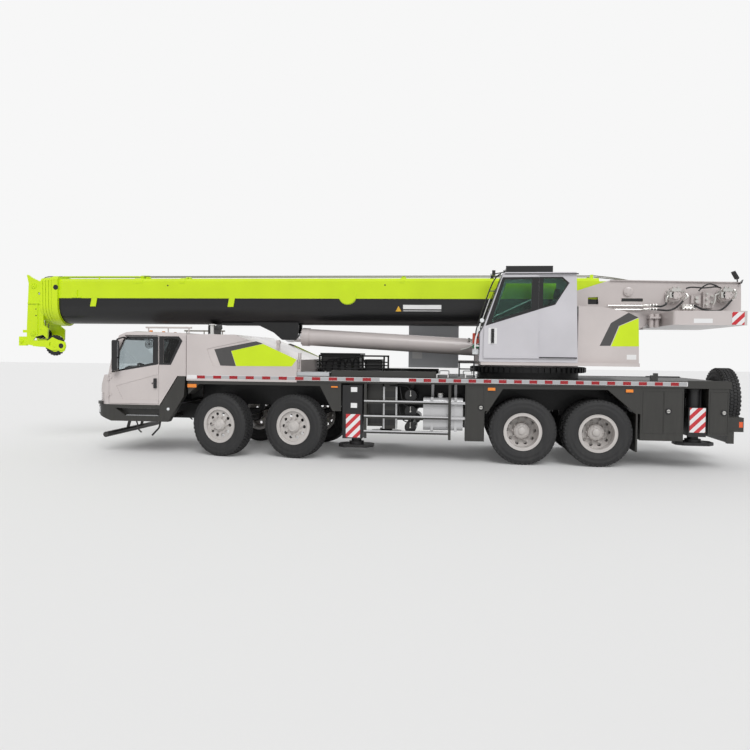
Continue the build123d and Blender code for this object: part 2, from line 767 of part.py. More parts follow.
def make_front_bumper():
    """Lower fascia with the steps, lamps, arch guards, low front bar and tow eyes."""
    low, high = fascia_low, cab_bottom
    middle = (3640 + fascia_front) / 2
    outer = Pos(middle, 0, (low + high) / 2) * Box(fascia_front - 3640, 2 * cab_half, high - low)
    edges = outer.edges().filter_by(Axis.Z).sort_by(Axis.X)[-2:]
    outer = fillet(edges, cab_corner)
    inner = Pos(4250, 0, (low + high) / 2) * Box(1400, 2 * cab_half - 320, high - low + 2)
    node = outer - inner
    node += block(neck_front, fascia_front, -420, 420, low, high)
    for side in (1, -1):
        chamfer = [(fascia_front + 10, low - 1), (fascia_front + 10, 785), (4730, low - 1)]
        node -= side_prism(chamfer, side * 430, side * (cab_half + 1))
        step = [(4640, 905), (3740, 905), (3740, 762), (4440, 762)]
        node -= side_prism(step, side * (cab_half - 130), side * (cab_half + 1))
    # Bar under the slats, and the lamps at the corners
    bar = [(4895, 1370), (4905, 1392), (4962, 1372), (5032, 1300), (5070, 1190), (5080, 1090)]
    bar = bar + [(x, -y) for x, y in reversed(bar)]
    node += plan_prism(bar, high, 1034) - cab_solid(0)
    lamp = [(4900, 1270), (5000, 1292), (5062, 1205), (5085, 1060), (5085, 900), (4980, 880)]
    node += both(plan_prism(lamp, 788, 946))
    for side in (1, -1):
        y = side * cab_half
        node += side_prism([
            (3639, low), (3640, high), (3712, high), (3355, 1545), (3215, 1545), (3240, 1165), (3560, low),
        ], side * (cab_half - 150), y)
        node += block(3700, 3660, side * neck_half, side * (cab_half - 100), low + 40, low + 120)
        node += side_prism([
            (4800, neck_bottom), (4860, neck_bottom), (4925, 400), (4880, 380),
        ], side * 300, side * 340)
    node += across(4905, 360, 55, -1250, 1250)
    # Tow eyes bolted to the fascia
    parts = list(node.solids())
    for y in (tow_eye_y, -tow_eye_y):
        eye = block(fascia_front, fascia_front + 18, y - 60, y + 60, tow_eye[1] - 65, tow_eye[1] + 65)
        eye += block(fascia_front + 15, tow_eye[0], y - 20, y + 20, tow_eye[1] - 45, tow_eye[1] + 45)
        eye += across(*tow_eye, 45, y - 20, y + 20)
        eye -= across(*tow_eye, tow_bore, y - 21, y + 21)
        parts.append(eye.solid())
    save("front_bumper", Compound(children=parts))


def make_engine():
    engine = block(1350, 2950, -300, 300, 1050, 1950)
    for x in (1600, 2600):
        engine += block(x, x + 120, -420, 420, frame_top, frame_top + 40)
    save("engine", engine)
    outline = [
        (hood_front, edge_bottom), (hood_front, hood_top), (2222, hood_top - 3), (1689, 2166),
        (1005, 1888), (1005, edge_bottom),
    ]
    face = make_face(Polyline(*outline, close=True))
    inside = offset(face, -hood_wall, kind=Kind.INTERSECTION)
    outer = side_face_prism(face, -body_half, body_half)
    cavity = side_face_prism(inside, hood_wall - body_half, body_half - hood_wall)
    open_floor = block(hood_front - hood_wall, 1005 + hood_wall, -900, 900, edge_bottom - 1, 1600)
    over_rails = block(1004, hood_front + 1, -frame_half - 5, frame_half + 5, edge_bottom - 1, frame_top)
    hood = outer - cavity - open_floor - over_rails
    hood -= block(3025, hood_front + 1, -rest_half - wall_gap, rest_half + wall_gap, edge_bottom - 1, 2500)
    # Sunk panel on each side and the perforated post at the rear
    panel = [(2778, 2083), (2647, 1735), (1004, 1735), (1004, 1900), (1660, 2192), (1880, 2272)]
    for side in (1, -1):
        hood -= side_prism(panel, side * (body_half - 12), side * (body_half + 1))
        hood += block(952, 1006, side * 1235, side * 1300, 1656, 2020)
        for i in range(10):
            z = 1720 + i * 28
            hood -= block(964, 992, side * 1234, side * 1301, z, z + 15)
    # Roller post and bracket on the left of the cover
    hood += block(1500, 1560, 705, 790, 2085, 2245)
    hood += across(1530, 2235, 40, 690, 800)
    hood += block(2795, 2905, 845, 955, hood_top - 10, 2382)
    hood += upright(2850, 900, 36, 2380, 2562)
    hood += upright(2850, 900, 60, 2558, 2578)
    save("engine_cover", hood)


# Superstructure

def make_turntable():
    node = upright(slew_x, 0, seat_radius - 10, ring_top, table_top)
    outline = [
        (-2380, table_top), (-2380, 2010), (-4301, 3285), (-4909, 3485), (tail_rear + 15, 3440),
        (tail_rear, tail_bottom),
        (-6043, tail_bottom), (-5463, 2529), (-4800, table_top),
    ]
    plate = side_prism(outline, plate_inner, plate_inner + plate_thick)
    for x, z in winch_axes:
        plate -= across(x, z, 120, plate_inner - 1, 500)
    for hole in (
        [(-4529, 3162), (-4718, 3170), (-4730, 3029), (-4532, 3028)],
        [(-5160, 3145), (-5560, 3145), (-5560, 3082), (-5160, 3082)],
    ):
        plate -= side_prism(hole, plate_inner - 1, plate_inner + plate_thick + 1)
    # Flange along the top edge, and the valve blocks of the winches
    top = [(-4940, 3484), (tail_rear + 15, 3440)]
    plate += sheet(top, 16, plate_inner, plate_inner + 75)
    plate += block(-6640, -6830, plate_inner + plate_thick - 2, 530, 2960, 3265)
    plate += block(-6430, -6600, plate_inner + plate_thick - 2, 500, 3044, 3205)
    # Cylinders that hold the counterweight
    plate += block(-5640, -5840, plate_inner + plate_thick - 2, 640, 2750, 2785)
    for x in (-5690, -5790):
        plate += upright(x, 560, 44, 2580, 2840)
    node += both(plate)
    reach = plate_inner + plate_thick
    node += block(-2380, -4800, -reach, reach, table_top - 60, table_top)
    # Cross plates between the two side plates
    for x0, x1, z0, z1 in (
        (-5000, -4960, 1890, 2500), (-5700, -5740, 2700, 3400), (-7310, -7340, tail_bottom, 3000),
    ):
        node += block(x0, x1, -plate_inner, plate_inner, z0, z1)
    node += block(-6043, -7340, -plate_inner, plate_inner, tail_bottom, tail_bottom + 20)
    # Platforms that carry the cab and the housings
    node += block(-2450, -5290, plate_inner + plate_thick, cab_left - 10, 1840, platform_top)
    node += block(-2055, -5290, -plate_inner - plate_thick, -1320, 1840, platform_top)
    # Boom foot pin and lift cylinder pin
    node += across(*foot_pin, foot_pin_radius, -plate_inner - 75, plate_inner + 75)
    node += across(*base_pin, pin_radius, -plate_inner, plate_inner)
    save("turntable", node)


def make_counterweight():
    outline = [
        (counter_front, counter_bottom), (counter_front, tail_bottom), (counter_rear, tail_bottom),
        (counter_rear, counter_bottom),
    ]
    node = side_prism(outline, -counter_half, counter_half)
    upright_edges = node.edges().filter_by(Axis.Z)
    node = fillet(upright_edges, 60)
    # Slots for the lower edges of the two boom-foot plates
    slot = block(counter_front + 10, -6060, plate_inner - 6, plate_inner + plate_thick + 6, 2740, tail_bottom + 1)
    node -= both(slot)
    save("counterweight", node)


def make_winches():
    """Two hoist drums with their motors outside the left plate."""
    node = None
    for x, z in winch_axes:
        drum = across(x, z, 175, -330, 330)
        for y in (-330, 310):
            drum += across(x, z, 235, y, y + 20)
        drum += across(x, z, 118, -470, 480)
        drum += across(x, z, 160, plate_inner + plate_thick, 480)
        drum += across(x, z, 122, 480, 590)
        drum += across(x, z, 84, 590, 650)
        node = drum if node is None else node + drum
    save("winches", node)


def make_housings():
    """Panelled housings behind the cab, and the oil tank cabinet on the right."""
    outline = [
        (-4215, platform_top), (-4215, 2938), (-4600, 2930), (-5037, 2850), (-5285, 2724),
        (-5303, platform_top),
    ]
    node = side_prism(outline, 560, 1250)
    node += side_prism(outline, -560, -1250)
    cabinet = block(-1000, -2055, -plate_inner - 60, -1320, 1740, 2670)
    for i in range(9):
        x = -1080 - i * 110
        cabinet -= block(x, x - 40, -plate_inner - 59, -plate_inner - 75, 1800, 2600)
    save("side_housings", node + cabinet)


def crane_cab_outline():
    return [
        (-2423, platform_top), (-2434, 2429), (-2505, 2578), (-2836, 3527), (-2880, 3543), (-4147, 3543),
        (-4197, platform_top),
    ]


def make_crane_cab():
    face = make_face(Polyline(*crane_cab_outline(), close=True))
    inside = offset(face, -40, kind=Kind.INTERSECTION)
    shell = side_face_prism(face, cab_right, cab_left)
    shell -= side_face_prism(inside, cab_right + 40, cab_left - 40)
    cab = shell - side_prism([(-2400, 2080), (-2520, 2080), (-2900, 3480), (-2790, 3480)],
                             cab_right + 60, cab_left - 60)
    doorway = [(-2560, 2040), (-2560, 2600), (-2860, 3440), (-3440, 3440), (-3440, 2040)]
    cab -= side_prism(doorway, cab_left - 60, cab_left + 10)
    rear_window = [(-3560, 2914), (-3560, 3425), (-3882, 3425), (-3991, 3334), (-3783, 2988)]
    cab -= side_prism(rear_window, cab_left - 60, cab_left + 10)
    cab -= side_prism([(-2700, 2700), (-2950, 3420), (-3900, 3420), (-3900, 2900)], cab_right - 10, cab_right + 60)
    cab -= block(-2980, -3560, cab_right + 140, cab_left - 140, 3480, 3560)
    cab -= block(-4100, -4210, cab_right + 120, cab_left - 120, 2700, 3400)
    # Roof guard
    for y in (cab_right + 60, cab_left - 100):
        cab += block(-2888, -3735, y, y + 40, 3543, 3665)
    for i in range(7):
        x = -2900 - i * 135
        cab += block(x, x - 25, cab_right + 60, cab_left - 60, 3630, 3650)
    # Door rails
    for front, low, high in ((-2860, 3497, 3521), (-2500, 1970, 2000 - run_fit)):
        cab += block(front, -4180, cab_left, cab_left + 34, low, high)
    save("crane_cab", cab)

    leaf = [(-2495, 2000), (-2505, 2578), (-2832, 3491), (-3480, 3491), (-3480, 2000)]
    glass = [(-2640, 2640), (-2870, 3400), (-3350, 3415), (-3350, 2880)]
    door = side_prism(leaf, cab_left + wall_gap, cab_left + wall_gap + 26)
    door -= side_prism(glass, cab_left, cab_left + 50)
    door += block(-2640, -2680, cab_left + 32, cab_left + 60, 2250, 2500)
    save("crane_cab_door", door)

    node = block(-3250, -3800, 740, 1230, 2330, 2440)
    node += block(-3350, -3700, 820, 1150, platform_top + 40, 2330)
    node += side_prism([(-3760, 2440), (-3870, 3150), (-3780, 3160), (-3620, 2440)], 740, 1230)
    for y in (640, 1240):
        node += block(-3150, -3700, y, y + 90, platform_top + 40, 2500)
    node += block(-2560, -2660, 700, 1240, platform_top + 40, 2350)
    save("crane_cab_interior", node)


# Lift cylinder

def make_lift_cylinder():
    dx, dz = eye_pin[0] - base_pin[0], eye_pin[1] - base_pin[1]
    length = (dx * dx + dz * dz) ** 0.5
    line = Plane((base_pin[0], 0, base_pin[1]), x_dir=(0, 1, 0), z_dir=(dx, 0, dz))

    def run(radius, start, end):
        return line * Pos(0, 0, (start + end) / 2) * Cylinder(radius, end - start)

    closed = length - 255
    barrel = run(barrel_radius, 140, closed - 150) + run(barrel_radius + 14, closed - 150, closed)
    barrel += across(*base_pin, 165, -150, 150)
    barrel -= run(barrel_radius - 30, 260, closed - 160)
    barrel -= run(rod_radius + run_fit, closed - 200, closed + 10)
    barrel -= across(*base_pin, pin_radius + run_fit, -160, 160)
    save("lift_cylinder_barrel", barrel)

    rod = run(rod_radius, 600, length - 60) + run(barrel_radius - 32, 500, 640)
    rod += across(*eye_pin, 130, -130, 130)
    save("lift_cylinder_rod", rod)


# Boom

def boom_profile(shrink):
    """Cross-section: flat top with clipped corners, straight sides, half-round belly."""
    half = boom_half - shrink
    top = boom_top - shrink
    low = boom_bottom + shrink + half
    clip = 60
    line = Polyline(
        (-half, low), (-half, top - clip), (-half + clip, top), (half - clip, top), (half, top - clip), (half, low),
    )
    belly = ThreePointArc((half, low), (0, low - half), (-half, low))
    return make_face(line + belly)


def boom_tube(shrink, x0, x1, wall):
    """Tube of one boom section."""
    plane = Plane((x0, 0, 0), x_dir=(0, 1, 0), z_dir=(1, 0, 0))
    outer = plane * extrude(boom_profile(shrink), x1 - x0)
    inner = Plane((x0 - 1, 0, 0), x_dir=(0, 1, 0), z_dir=(1, 0, 0)) * extrude(
        boom_profile(shrink + wall), x1 - x0 + 2)
    return outer - inner


def make_boom():
    base = boom_tube(0, boom_rear, boom_front, boom_wall)
    deep = collar_high + boom_step - run_fit
    base += boom_tube(-collar_high, boom_front - collar_long, boom_front, deep)
    base += both(boom_trim())
    # Foot plates out to the pin
    foot = [
        (boom_rear + 60, 2985), (boom_rear + 60, 3480), (-5200, 3480), (-5400, 3420), (-5460, 3276),
        (-5400, 3150), (-5100, 3050),
    ]
    lug = side_prism(foot, boom_half - 60, boom_half)
    lug -= across(*foot_pin, foot_pin_radius + run_fit, 0, 600)
    base += both(lug)
    # Cheeks for the lift cylinder's eye
    cheek = side_prism([
        (2900, 2960), (1780, 2440), (1600, 2290), (1300, 2290), (1250, 2420), (1250, 2985), (2900, 2985),
    ], 145, 185)
    bracket = outside_boom(both(cheek) + block(1880, 2900, -185, 185, 2590, 2640), 0)
    # Lugs on straps along the top, and the rod from the front one to the collar
    # middle, length, height
    for x, long, high in ((4647, 227, 98), (3687, 150, 64), (-914, 130, 68)):
        reach = long / 2
        strap = boom_tube(-9, x - reach + 20, x + reach - 20, 17)
        base += strap & block(x - reach, x + reach, -500, 500, 3450, 3600)
        low, top = boom_top - 4, boom_top + high
        lug = side_prism([(x - reach, low), (x - reach + 30, top), (x + reach - 30, top), (x + reach, low)], -45, 45)
        base += lug - across(x, boom_top + high / 2, 17, -46, 46)
    base += along(200, boom_top + 53, 13, 4600, boom_front - collar_long + 20)
    for x in (4620, 5600):
        base += block(x - 10, x + 10, 188, 212, boom_top - 4, boom_top + 53)
    base += both(across(197, 3195, 172, boom_half - 4, boom_half + 18))
    save("boom_base", Compound(children=list(base.solids()) + list(bracket.solids())))

    for i in range(4):
        shrink = boom_step * (i + 1)
        front = boom_front + collar_pitch * (i + 1)
        rear = boom_rear + 220 * (i + 1)
        tube = boom_tube(shrink, rear, front, boom_wall)
        last = i == 3
        inner = shrink + boom_wall if last else shrink + boom_step - run_fit
        rise = collar_rise - collar_fall * i
        tube += boom_tube(-rise, front - collar_plate, front, rise + inner)
        if last:
            tube += boom_head(front)
        save(f"boom_section_{i + 2}", tube)


def outside_boom(shape, sink):
    """Leaves what lies outside the base tube, or reaches into its wall by sink."""
    plane = Plane((boom_rear, 0, 0), x_dir=(0, 1, 0), z_dir=(1, 0, 0))
    core = plane * extrude(boom_profile(sink), boom_front - boom_rear)
    return shape - core


def boom_trim():
    """Strip along the seam of the left side, tabs below it and a cleat above."""
    out = boom_half + 8
    trim = block(boom_rear + 120, boom_front - collar_long + 5, 300, out, seam_z - 16, seam_z)
    for x in (5640, 2642):
        trim += block(x - 16, x + 16, 300, out + 10, 2955, seam_z - 10)
    trim += block(5905, 6115, 300, boom_half + 20, 3142, 3168)
    trim += block(5992, 6030, 300, boom_half + 26, 3160, 3300)
    return outside_boom(trim, 5)


def grooved(x, z, radius, y, wide):
    """Sheave with a V groove."""
    half = wide / 2
    ring = [(20, -half), (radius, -half), (radius - wide / 3, 0), (radius, half), (20, half)]
    return Pos(x, y, z) * spun(ring)


def boom_head(start):
    """Head plates with their ribs, the upper and lower sheaves and the folded tip sheave."""
    outline = [
        (6785, 3454), (7031, 3566), (7140, 3634), (7164, 3626), (7124, 3455), (7169, 2545), (7171, 2311),
        (7352, 2309), (7354, 2113), (7178, 2115), (7038, 2220), (6976, 2312), (6801, 2352), (6699, 2250),
        (6691, 2484), (6789, 2560), (6799, 3014),
    ]
    plate = side_prism(outline, 300, 340)
    plate -= across(6889, 3233, 30, 299, 341)
    plate += block(6912, 6930, 336, 358, 2360, 3020)
    plate += block(6802, 7136, 336, 366, 3014, 3040)
    plate += block(7160, 7262, 300, 340, 2396, 2453)
    # middle and radius of each boss
    for x, z, radius in ((7006, 3400, 62), (7025, 2380, 58), (6850, 3100, 34), (7290, 2210, 44)):
        plate += across(x, z, radius, 336, 352)
    head = both(plate)
    head += block(start - 10, start + 20, -340, 340, 2760, 3440)
    head += across(7290, 2210, 32, -340, 340)
    for x, z, radius in ((7006, 3400, 112), (7025, 2380, 100)):
        head += across(x, z, 40, -340, 340)
        for y in (-180, -60, 60, 180):
            head += grooved(x, z, radius, y, 45)
    return head + tip_sheave()


def tip_sheave():
    """Toothed sheave folded back under the head, on a fork of two arms."""
    x, z = 6475, 2127
    inner = [(7170, 2145), (7170, 2235), (6900, 2225), (6430, 2180), (6430, 2075), (6900, 2095)]
    outer = [
        (6892, 2219), (6713, 2230), (6624, 2228), (6521, 2300), (6412, 2249), (6234, 2200), (6214, 2110),
        (6249, 2007), (6324, 1980), (6412, 2031), (6549, 2023), (6714, 2098), (6892, 2097),
    ]
    fork = side_prism(inner, 338, 370) + side_prism(outer, 436, 450)
    fork += block(6880, 6960, 338, 450, 2102, 2216)
    fork += across(6319, 2115, 92, 448, 464)
    fork -= across(6319, 2115, 55, 435, 465)
    fork -= block(6590, 6560, 435, 451, 2110, 2190)
    wheel = grooved(x, z, 206, 403, 52) + across(x, z, 42, 340, 456)
    for i in range(tip_teeth):
        turn = Pos(x, 0, z) * Rot(0, 360 * i / tip_teeth, 0)
        for y in (381, 411):
            wheel += turn * block(196, 220, y, y + 14, -13, 13)
    return fork + wheel


os.makedirs("parts", exist_ok=True)
make_wheels()
make_axles()
make_frame()
make_spare()
make_deck()
make_side_boxes()
make_tanks()
make_outriggers()
make_driver_cab()
make_cab_interior()
make_front_bumper()
make_engine()
make_turntable()
make_counterweight()
make_winches()
make_housings()
make_crane_cab()
make_lift_cylinder()
make_boom()
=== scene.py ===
import bpy
import bmesh
import math
from mathutils import Matrix, Vector


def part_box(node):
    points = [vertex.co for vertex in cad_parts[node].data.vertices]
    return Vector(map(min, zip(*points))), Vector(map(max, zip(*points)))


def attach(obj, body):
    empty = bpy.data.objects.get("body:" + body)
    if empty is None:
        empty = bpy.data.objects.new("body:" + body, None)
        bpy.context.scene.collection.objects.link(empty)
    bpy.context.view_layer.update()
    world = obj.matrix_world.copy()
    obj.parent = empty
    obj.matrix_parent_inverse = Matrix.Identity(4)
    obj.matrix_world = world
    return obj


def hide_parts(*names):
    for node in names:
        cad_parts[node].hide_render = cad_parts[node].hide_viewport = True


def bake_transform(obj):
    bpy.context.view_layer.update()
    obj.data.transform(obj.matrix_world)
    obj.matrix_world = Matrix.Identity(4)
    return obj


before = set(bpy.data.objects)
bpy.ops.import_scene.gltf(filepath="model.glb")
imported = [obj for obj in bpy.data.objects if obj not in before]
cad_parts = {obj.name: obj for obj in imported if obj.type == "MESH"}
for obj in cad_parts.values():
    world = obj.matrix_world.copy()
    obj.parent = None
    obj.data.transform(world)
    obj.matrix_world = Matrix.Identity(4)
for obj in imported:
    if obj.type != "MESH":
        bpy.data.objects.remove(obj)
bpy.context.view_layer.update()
print("frame loaded:", len(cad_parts), "nodes")

# camera, light, floor

studio = {
    "camera": (-1.947, 14.237, 2.027),
    "yaw": 0.1127,            # radians from straight across the crane
    "pitch": -1.785,          # degrees
    "roll": 0.632,
    "lens": 33.07,
    "clipEnd": 400,
    "worldLight": 0.72,
    # direction the light travels, strength, spread in degrees
    "suns": {"keySun": ((0.25, -0.8, -0.75), 1.60, 35), "backSun": ((-0.3, 0.9, -0.6), 0.55, 60)},
    "backdrop": (0.93, 0.93, 0.93, 1),
    "floorColour": (0.74, 0.74, 0.74, 1),
    "floorGlow": 0.06,        # seen by the camera only
    "floorRoughness": 0.9,
    "floorHalf": 90,
}


def placeCamera():
    yaw = studio["yaw"]
    pitch, roll = math.radians(studio["pitch"]), math.radians(studio["roll"])
    ahead = Vector((math.sin(yaw) * math.cos(pitch), -math.cos(yaw) * math.cos(pitch), math.sin(pitch)))
    right = ahead.cross(Vector((0, 0, 1))).normalized()
    up = right.cross(ahead)
    right, up = (math.cos(roll) * right + math.sin(roll) * up,
                 math.cos(roll) * up - math.sin(roll) * right)
    data = bpy.data.cameras.new("photoCamera")
    data.lens = studio["lens"]
    data.clip_end = studio["clipEnd"]
    camera = bpy.data.objects.new("photoCamera", data)
    turn = Matrix((right, up, -ahead)).transposed().to_4x4()
    camera.matrix_world = Matrix.Translation(studio["camera"]) @ turn
    bpy.context.scene.collection.objects.link(camera)
    bpy.context.scene.camera = camera


def lightStudio():
    scene = bpy.context.scene
    scene.view_settings.view_transform = "Standard"
    world = bpy.data.worlds.new("studio")
    scene.world = world
    world.use_nodes = True
    nodes, links = world.node_tree.nodes, world.node_tree.links
    nodes.clear()
    out = nodes.new("ShaderNodeOutputWorld")
    soft = nodes.new("ShaderNodeBackground")
    soft.inputs["Strength"].default_value = studio["worldLight"]
    white = nodes.new("ShaderNodeBackground")
    white.inputs["Color"].default_value = studio["backdrop"]
    seen = nodes.new("ShaderNodeMixShader")
    path = nodes.new("ShaderNodeLightPath")
    links.new(path.outputs["Is Camera Ray"], seen.inputs[0])
    links.new(soft.outputs[0], seen.inputs[1])
    links.new(white.outputs[0], seen.inputs[2])
    links.new(seen.outputs[0], out.inputs[0])
    for name, (aim, strength, spread) in studio["suns"].items():
        lamp = bpy.data.lights.new(name, "SUN")
        lamp.energy = strength
        lamp.angle = math.radians(spread)
        sun = bpy.data.objects.new(name, lamp)
        sun.rotation_mode = "QUATERNION"
        sun.rotation_quaternion = Vector(aim).to_track_quat("-Z", "Y")
        scene.collection.objects.link(sun)


def layFloor():
    half = studio["floorHalf"]
    mesh = bpy.data.meshes.new("floor")
    mesh.from_pydata([(-half, -half, 0), (half, -half, 0), (half, half, 0), (-half, half, 0)], [], [(0, 1, 2, 3)])
    floor = bpy.data.objects.new("floor", mesh)
    bpy.context.scene.collection.objects.link(floor)
    pale = bpy.data.materials.new("paleFloor")
    pale.use_nodes = True
    nodes, links = pale.node_tree.nodes, pale.node_tree.links
    shade = nodes["Principled BSDF"]
    shade.inputs["Base Color"].default_value = studio["floorColour"]
    shade.inputs["Roughness"].default_value = studio["floorRoughness"]
    glow = nodes.new("ShaderNodeEmission")
    path = nodes.new("ShaderNodeLightPath")
    power = nodes.new("ShaderNodeMath")
    power.operation = "MULTIPLY"
    power.inputs[1].default_value = studio["floorGlow"]
    both = nodes.new("ShaderNodeAddShader")
    links.new(path.outputs["Is Camera Ray"], power.inputs[0])
    links.new(power.outputs[0], glow.inputs["Strength"])
    links.new(shade.outputs[0], both.inputs[0])
    links.new(glow.outputs[0], both.inputs[1])
    links.new(both.outputs[0], nodes["Material Output"].inputs[0])
    mesh.materials.append(pale)


placeCamera()
lightStudio()
layFloor()
print("camera, light and floor placed")

# shader groups

lime = (0.600, 0.800, 0.004, 1)
warmGrey = (0.578, 0.527, 0.515, 1)
coolGrey = (0.578, 0.565, 0.597, 1)
skirtGrey = (0.032, 0.031, 0.028, 1)
deepBlack = (0.009, 0.009, 0.010, 1)
roadDust = (0.30, 0.285, 0.26, 1)
castGrey = (0.055, 0.054, 0.052, 1)
silver = (0.60, 0.60, 0.61, 1)
cabinetGrey = (0.60, 0.62, 0.65, 1)
coverWhite = (0.66, 0.66, 0.65, 1)
bandWhite = (0.80, 0.79, 0.80, 1)
bandRed = (0.56, 0.02, 0.03, 1)
weatherLook = {
    "drift": 1.3,                 # noise scale of the slow change of tone
    "tones": (0.93, 1.04),        # darkest and palest tone of a paint
    "streaks": 2.0,               # noise scale of the rain streaks
    "streakStretch": (7, 7, 0.9),
    "dustHeights": (0.2, 1.6),    # metres: most dust below the first, least above the second
    "dustAloft": 0.12,
    "topDust": 0.6,
    "dustRoughness": 0.5,
    "driftRoughness": 0.12,
    "grain": 320,
    "grainDepth": 0.004,
    "coatRoughness": 0.12,
}


def newGroup(name, inputs, outputs):
    group = bpy.data.node_groups.new(name, "ShaderNodeTree")
    for label, kind, value in inputs:
        socket = group.interface.new_socket(label, in_out="INPUT", socket_type=kind)
        socket.default_value = value
    for label, kind in outputs:
        group.interface.new_socket(label, in_out="OUTPUT", socket_type=kind)
    return group, group.nodes.new("NodeGroupInput"), group.nodes.new("NodeGroupOutput")


def maths(tree, operation, first, second, clamp=False):
    node = tree.nodes.new("ShaderNodeMath")
    node.operation = operation
    node.use_clamp = clamp
    for socket, value in zip(node.inputs, (first, second)):
        if isinstance(value, (int, float)):
            socket.default_value = value
        else:
            tree.links.new(value, socket)
    return node.outputs[0]


def blendColour(tree, amount, first, second, way="MIX"):
    node = tree.nodes.new("ShaderNodeMix")
    node.data_type = "RGBA"
    node.blend_type = way
    for socket, value in ((node.inputs[0], amount), (node.inputs[6], first), (node.inputs[7], second)):
        if isinstance(value, (int, float, tuple)):
            socket.default_value = value
        else:
            tree.links.new(value, socket)
    return node.outputs[2]


def noiseOf(tree, scale, detail, stretch=(1, 1, 1)):
    where = tree.nodes.new("ShaderNodeTexCoord")
    mapping = tree.nodes.new("ShaderNodeMapping")
    mapping.inputs["Scale"].default_value = stretch
    noise = tree.nodes.new("ShaderNodeTexNoise")
    noise.inputs["Scale"].default_value = scale
    noise.inputs["Detail"].default_value = detail
    tree.links.new(where.outputs["Object"], mapping.inputs[0])
    tree.links.new(mapping.outputs[0], noise.inputs["Vector"])
    return noise.outputs["Fac"]


def rangeOf(tree, value, low, high, outLow=0.0, outHigh=1.0):
    node = tree.nodes.new("ShaderNodeMapRange")
    tree.links.new(value, node.inputs[0])
    for socket, number in zip(node.inputs[1:5], (low, high, outLow, outHigh)):
        socket.default_value = number
    return node.outputs[0]


def placeOf(tree):
    where = tree.nodes.new("ShaderNodeTexCoord")
    split = tree.nodes.new("ShaderNodeSeparateXYZ")
    tree.links.new(where.outputs["Object"], split.inputs[0])
    return split.outputs


def makeWeathering():
    # paint with soft colour drift, dust that gathers low down and on top faces, and rain streaks
    group, given, made = newGroup(
        "weathering",
        (("Paint", "NodeSocketColor", warmGrey), ("Dust", "NodeSocketColor", roadDust),
         ("Dust Amount", "NodeSocketFloat", 0.3), ("Roughness", "NodeSocketFloat", 0.35),
         ("Grain", "NodeSocketFloat", 0.04)),
        (("Color", "NodeSocketColor"), ("Roughness", "NodeSocketFloat"), ("Normal", "NodeSocketVector")),
    )
    drift = noiseOf(group, weatherLook["drift"], 4)
    streak = noiseOf(group, weatherLook["streaks"], 5, weatherLook["streakStretch"])
    grain = noiseOf(group, weatherLook["grain"], 2)
    low = rangeOf(group, placeOf(group)["Z"], *weatherLook["dustHeights"], 1.0, weatherLook["dustAloft"])
    facing = group.nodes.new("ShaderNodeNewGeometry")
    split = group.nodes.new("ShaderNodeSeparateXYZ")
    group.links.new(facing.outputs["Normal"], split.inputs[0])
    top = rangeOf(group, split.outputs["Z"], 0.4, 1.0, 0.0, weatherLook["topDust"])
    dirty = maths(group, "MULTIPLY", rangeOf(group, streak, 0.42, 0.8), low)
    settled = maths(group, "MULTIPLY", rangeOf(group, drift, 0.35, 0.7), top)
    mask = maths(group, "MULTIPLY", maths(group, "ADD", dirty, settled), given.outputs["Dust Amount"], clamp=True)
    shade = rangeOf(group, drift, 0.3, 0.7, *weatherLook["tones"])
    tinted = blendColour(group, 1.0, given.outputs["Paint"], shade, "MULTIPLY")
    group.links.new(blendColour(group, mask, tinted, given.outputs["Dust"]), made.inputs["Color"])
    rough = maths(group, "ADD", given.outputs["Roughness"],
                  maths(group, "MULTIPLY", mask, weatherLook["dustRoughness"]))
    uneven = maths(group, "MULTIPLY", maths(group, "SUBTRACT", drift, 0.5), weatherLook["driftRoughness"])
    rough = maths(group, "ADD", rough, uneven, clamp=True)
    group.links.new(rough, made.inputs["Roughness"])
    bump = group.nodes.new("ShaderNodeBump")
    bump.inputs["Distance"].default_value = weatherLook["grainDepth"]
    group.links.new(given.outputs["Grain"], bump.inputs["Strength"])
    group.links.new(grain, bump.inputs["Height"])
    group.links.new(bump.outputs[0], made.inputs["Normal"])
    return group


def makeDiagonal():
    # slanted bands for the red and white plates: 0 or 1 over X plus Z
    group, given, made = newGroup(
        "diagonalBands", (("Pitch", "NodeSocketFloat", 0.28),), (("Mask", "NodeSocketFloat"),))
    place = placeOf(group)
    turns = maths(group, "DIVIDE", maths(group, "ADD", place["X"], place["Z"]), given.outputs["Pitch"])
    part = maths(group, "SUBTRACT", turns, maths(group, "FLOOR", turns, 0.0))
    group.links.new(maths(group, "GREATER_THAN", part, 0.5), made.inputs["Mask"])
    return group


weathering = makeWeathering()
diagonalBands = makeDiagonal()

# materials

finishes = {}


def painted(name, colour, roughness=0.32, dust=0.3, grain=0.03, coat=0.35, metallic=0.0, colourFrom=None):
    skin = bpy.data.materials.new(name)
    skin.use_nodes = True
    tree = skin.node_tree
    shade = tree.nodes["Principled BSDF"]
    wear = tree.nodes.new("ShaderNodeGroup")
    wear.node_tree = weathering
    wear.inputs["Paint"].default_value = colour
    wear.inputs["Dust Amount"].default_value = dust
    wear.inputs["Roughness"].default_value = roughness
    wear.inputs["Grain"].default_value = grain
    if colourFrom:
        tree.links.new(colourFrom(tree), wear.inputs["Paint"])
    shade.inputs["Metallic"].default_value = metallic
    shade.inputs["Coat Weight"].default_value = coat
    shade.inputs["Coat Roughness"].default_value = weatherLook["coatRoughness"]
    tree.links.new(wear.outputs["Color"], shade.inputs["Base Color"])
    tree.links.new(wear.outputs["Roughness"], shade.inputs["Roughness"])
    tree.links.new(wear.outputs["Normal"], shade.inputs["Normal"])
    finishes[name] = skin
    return skin


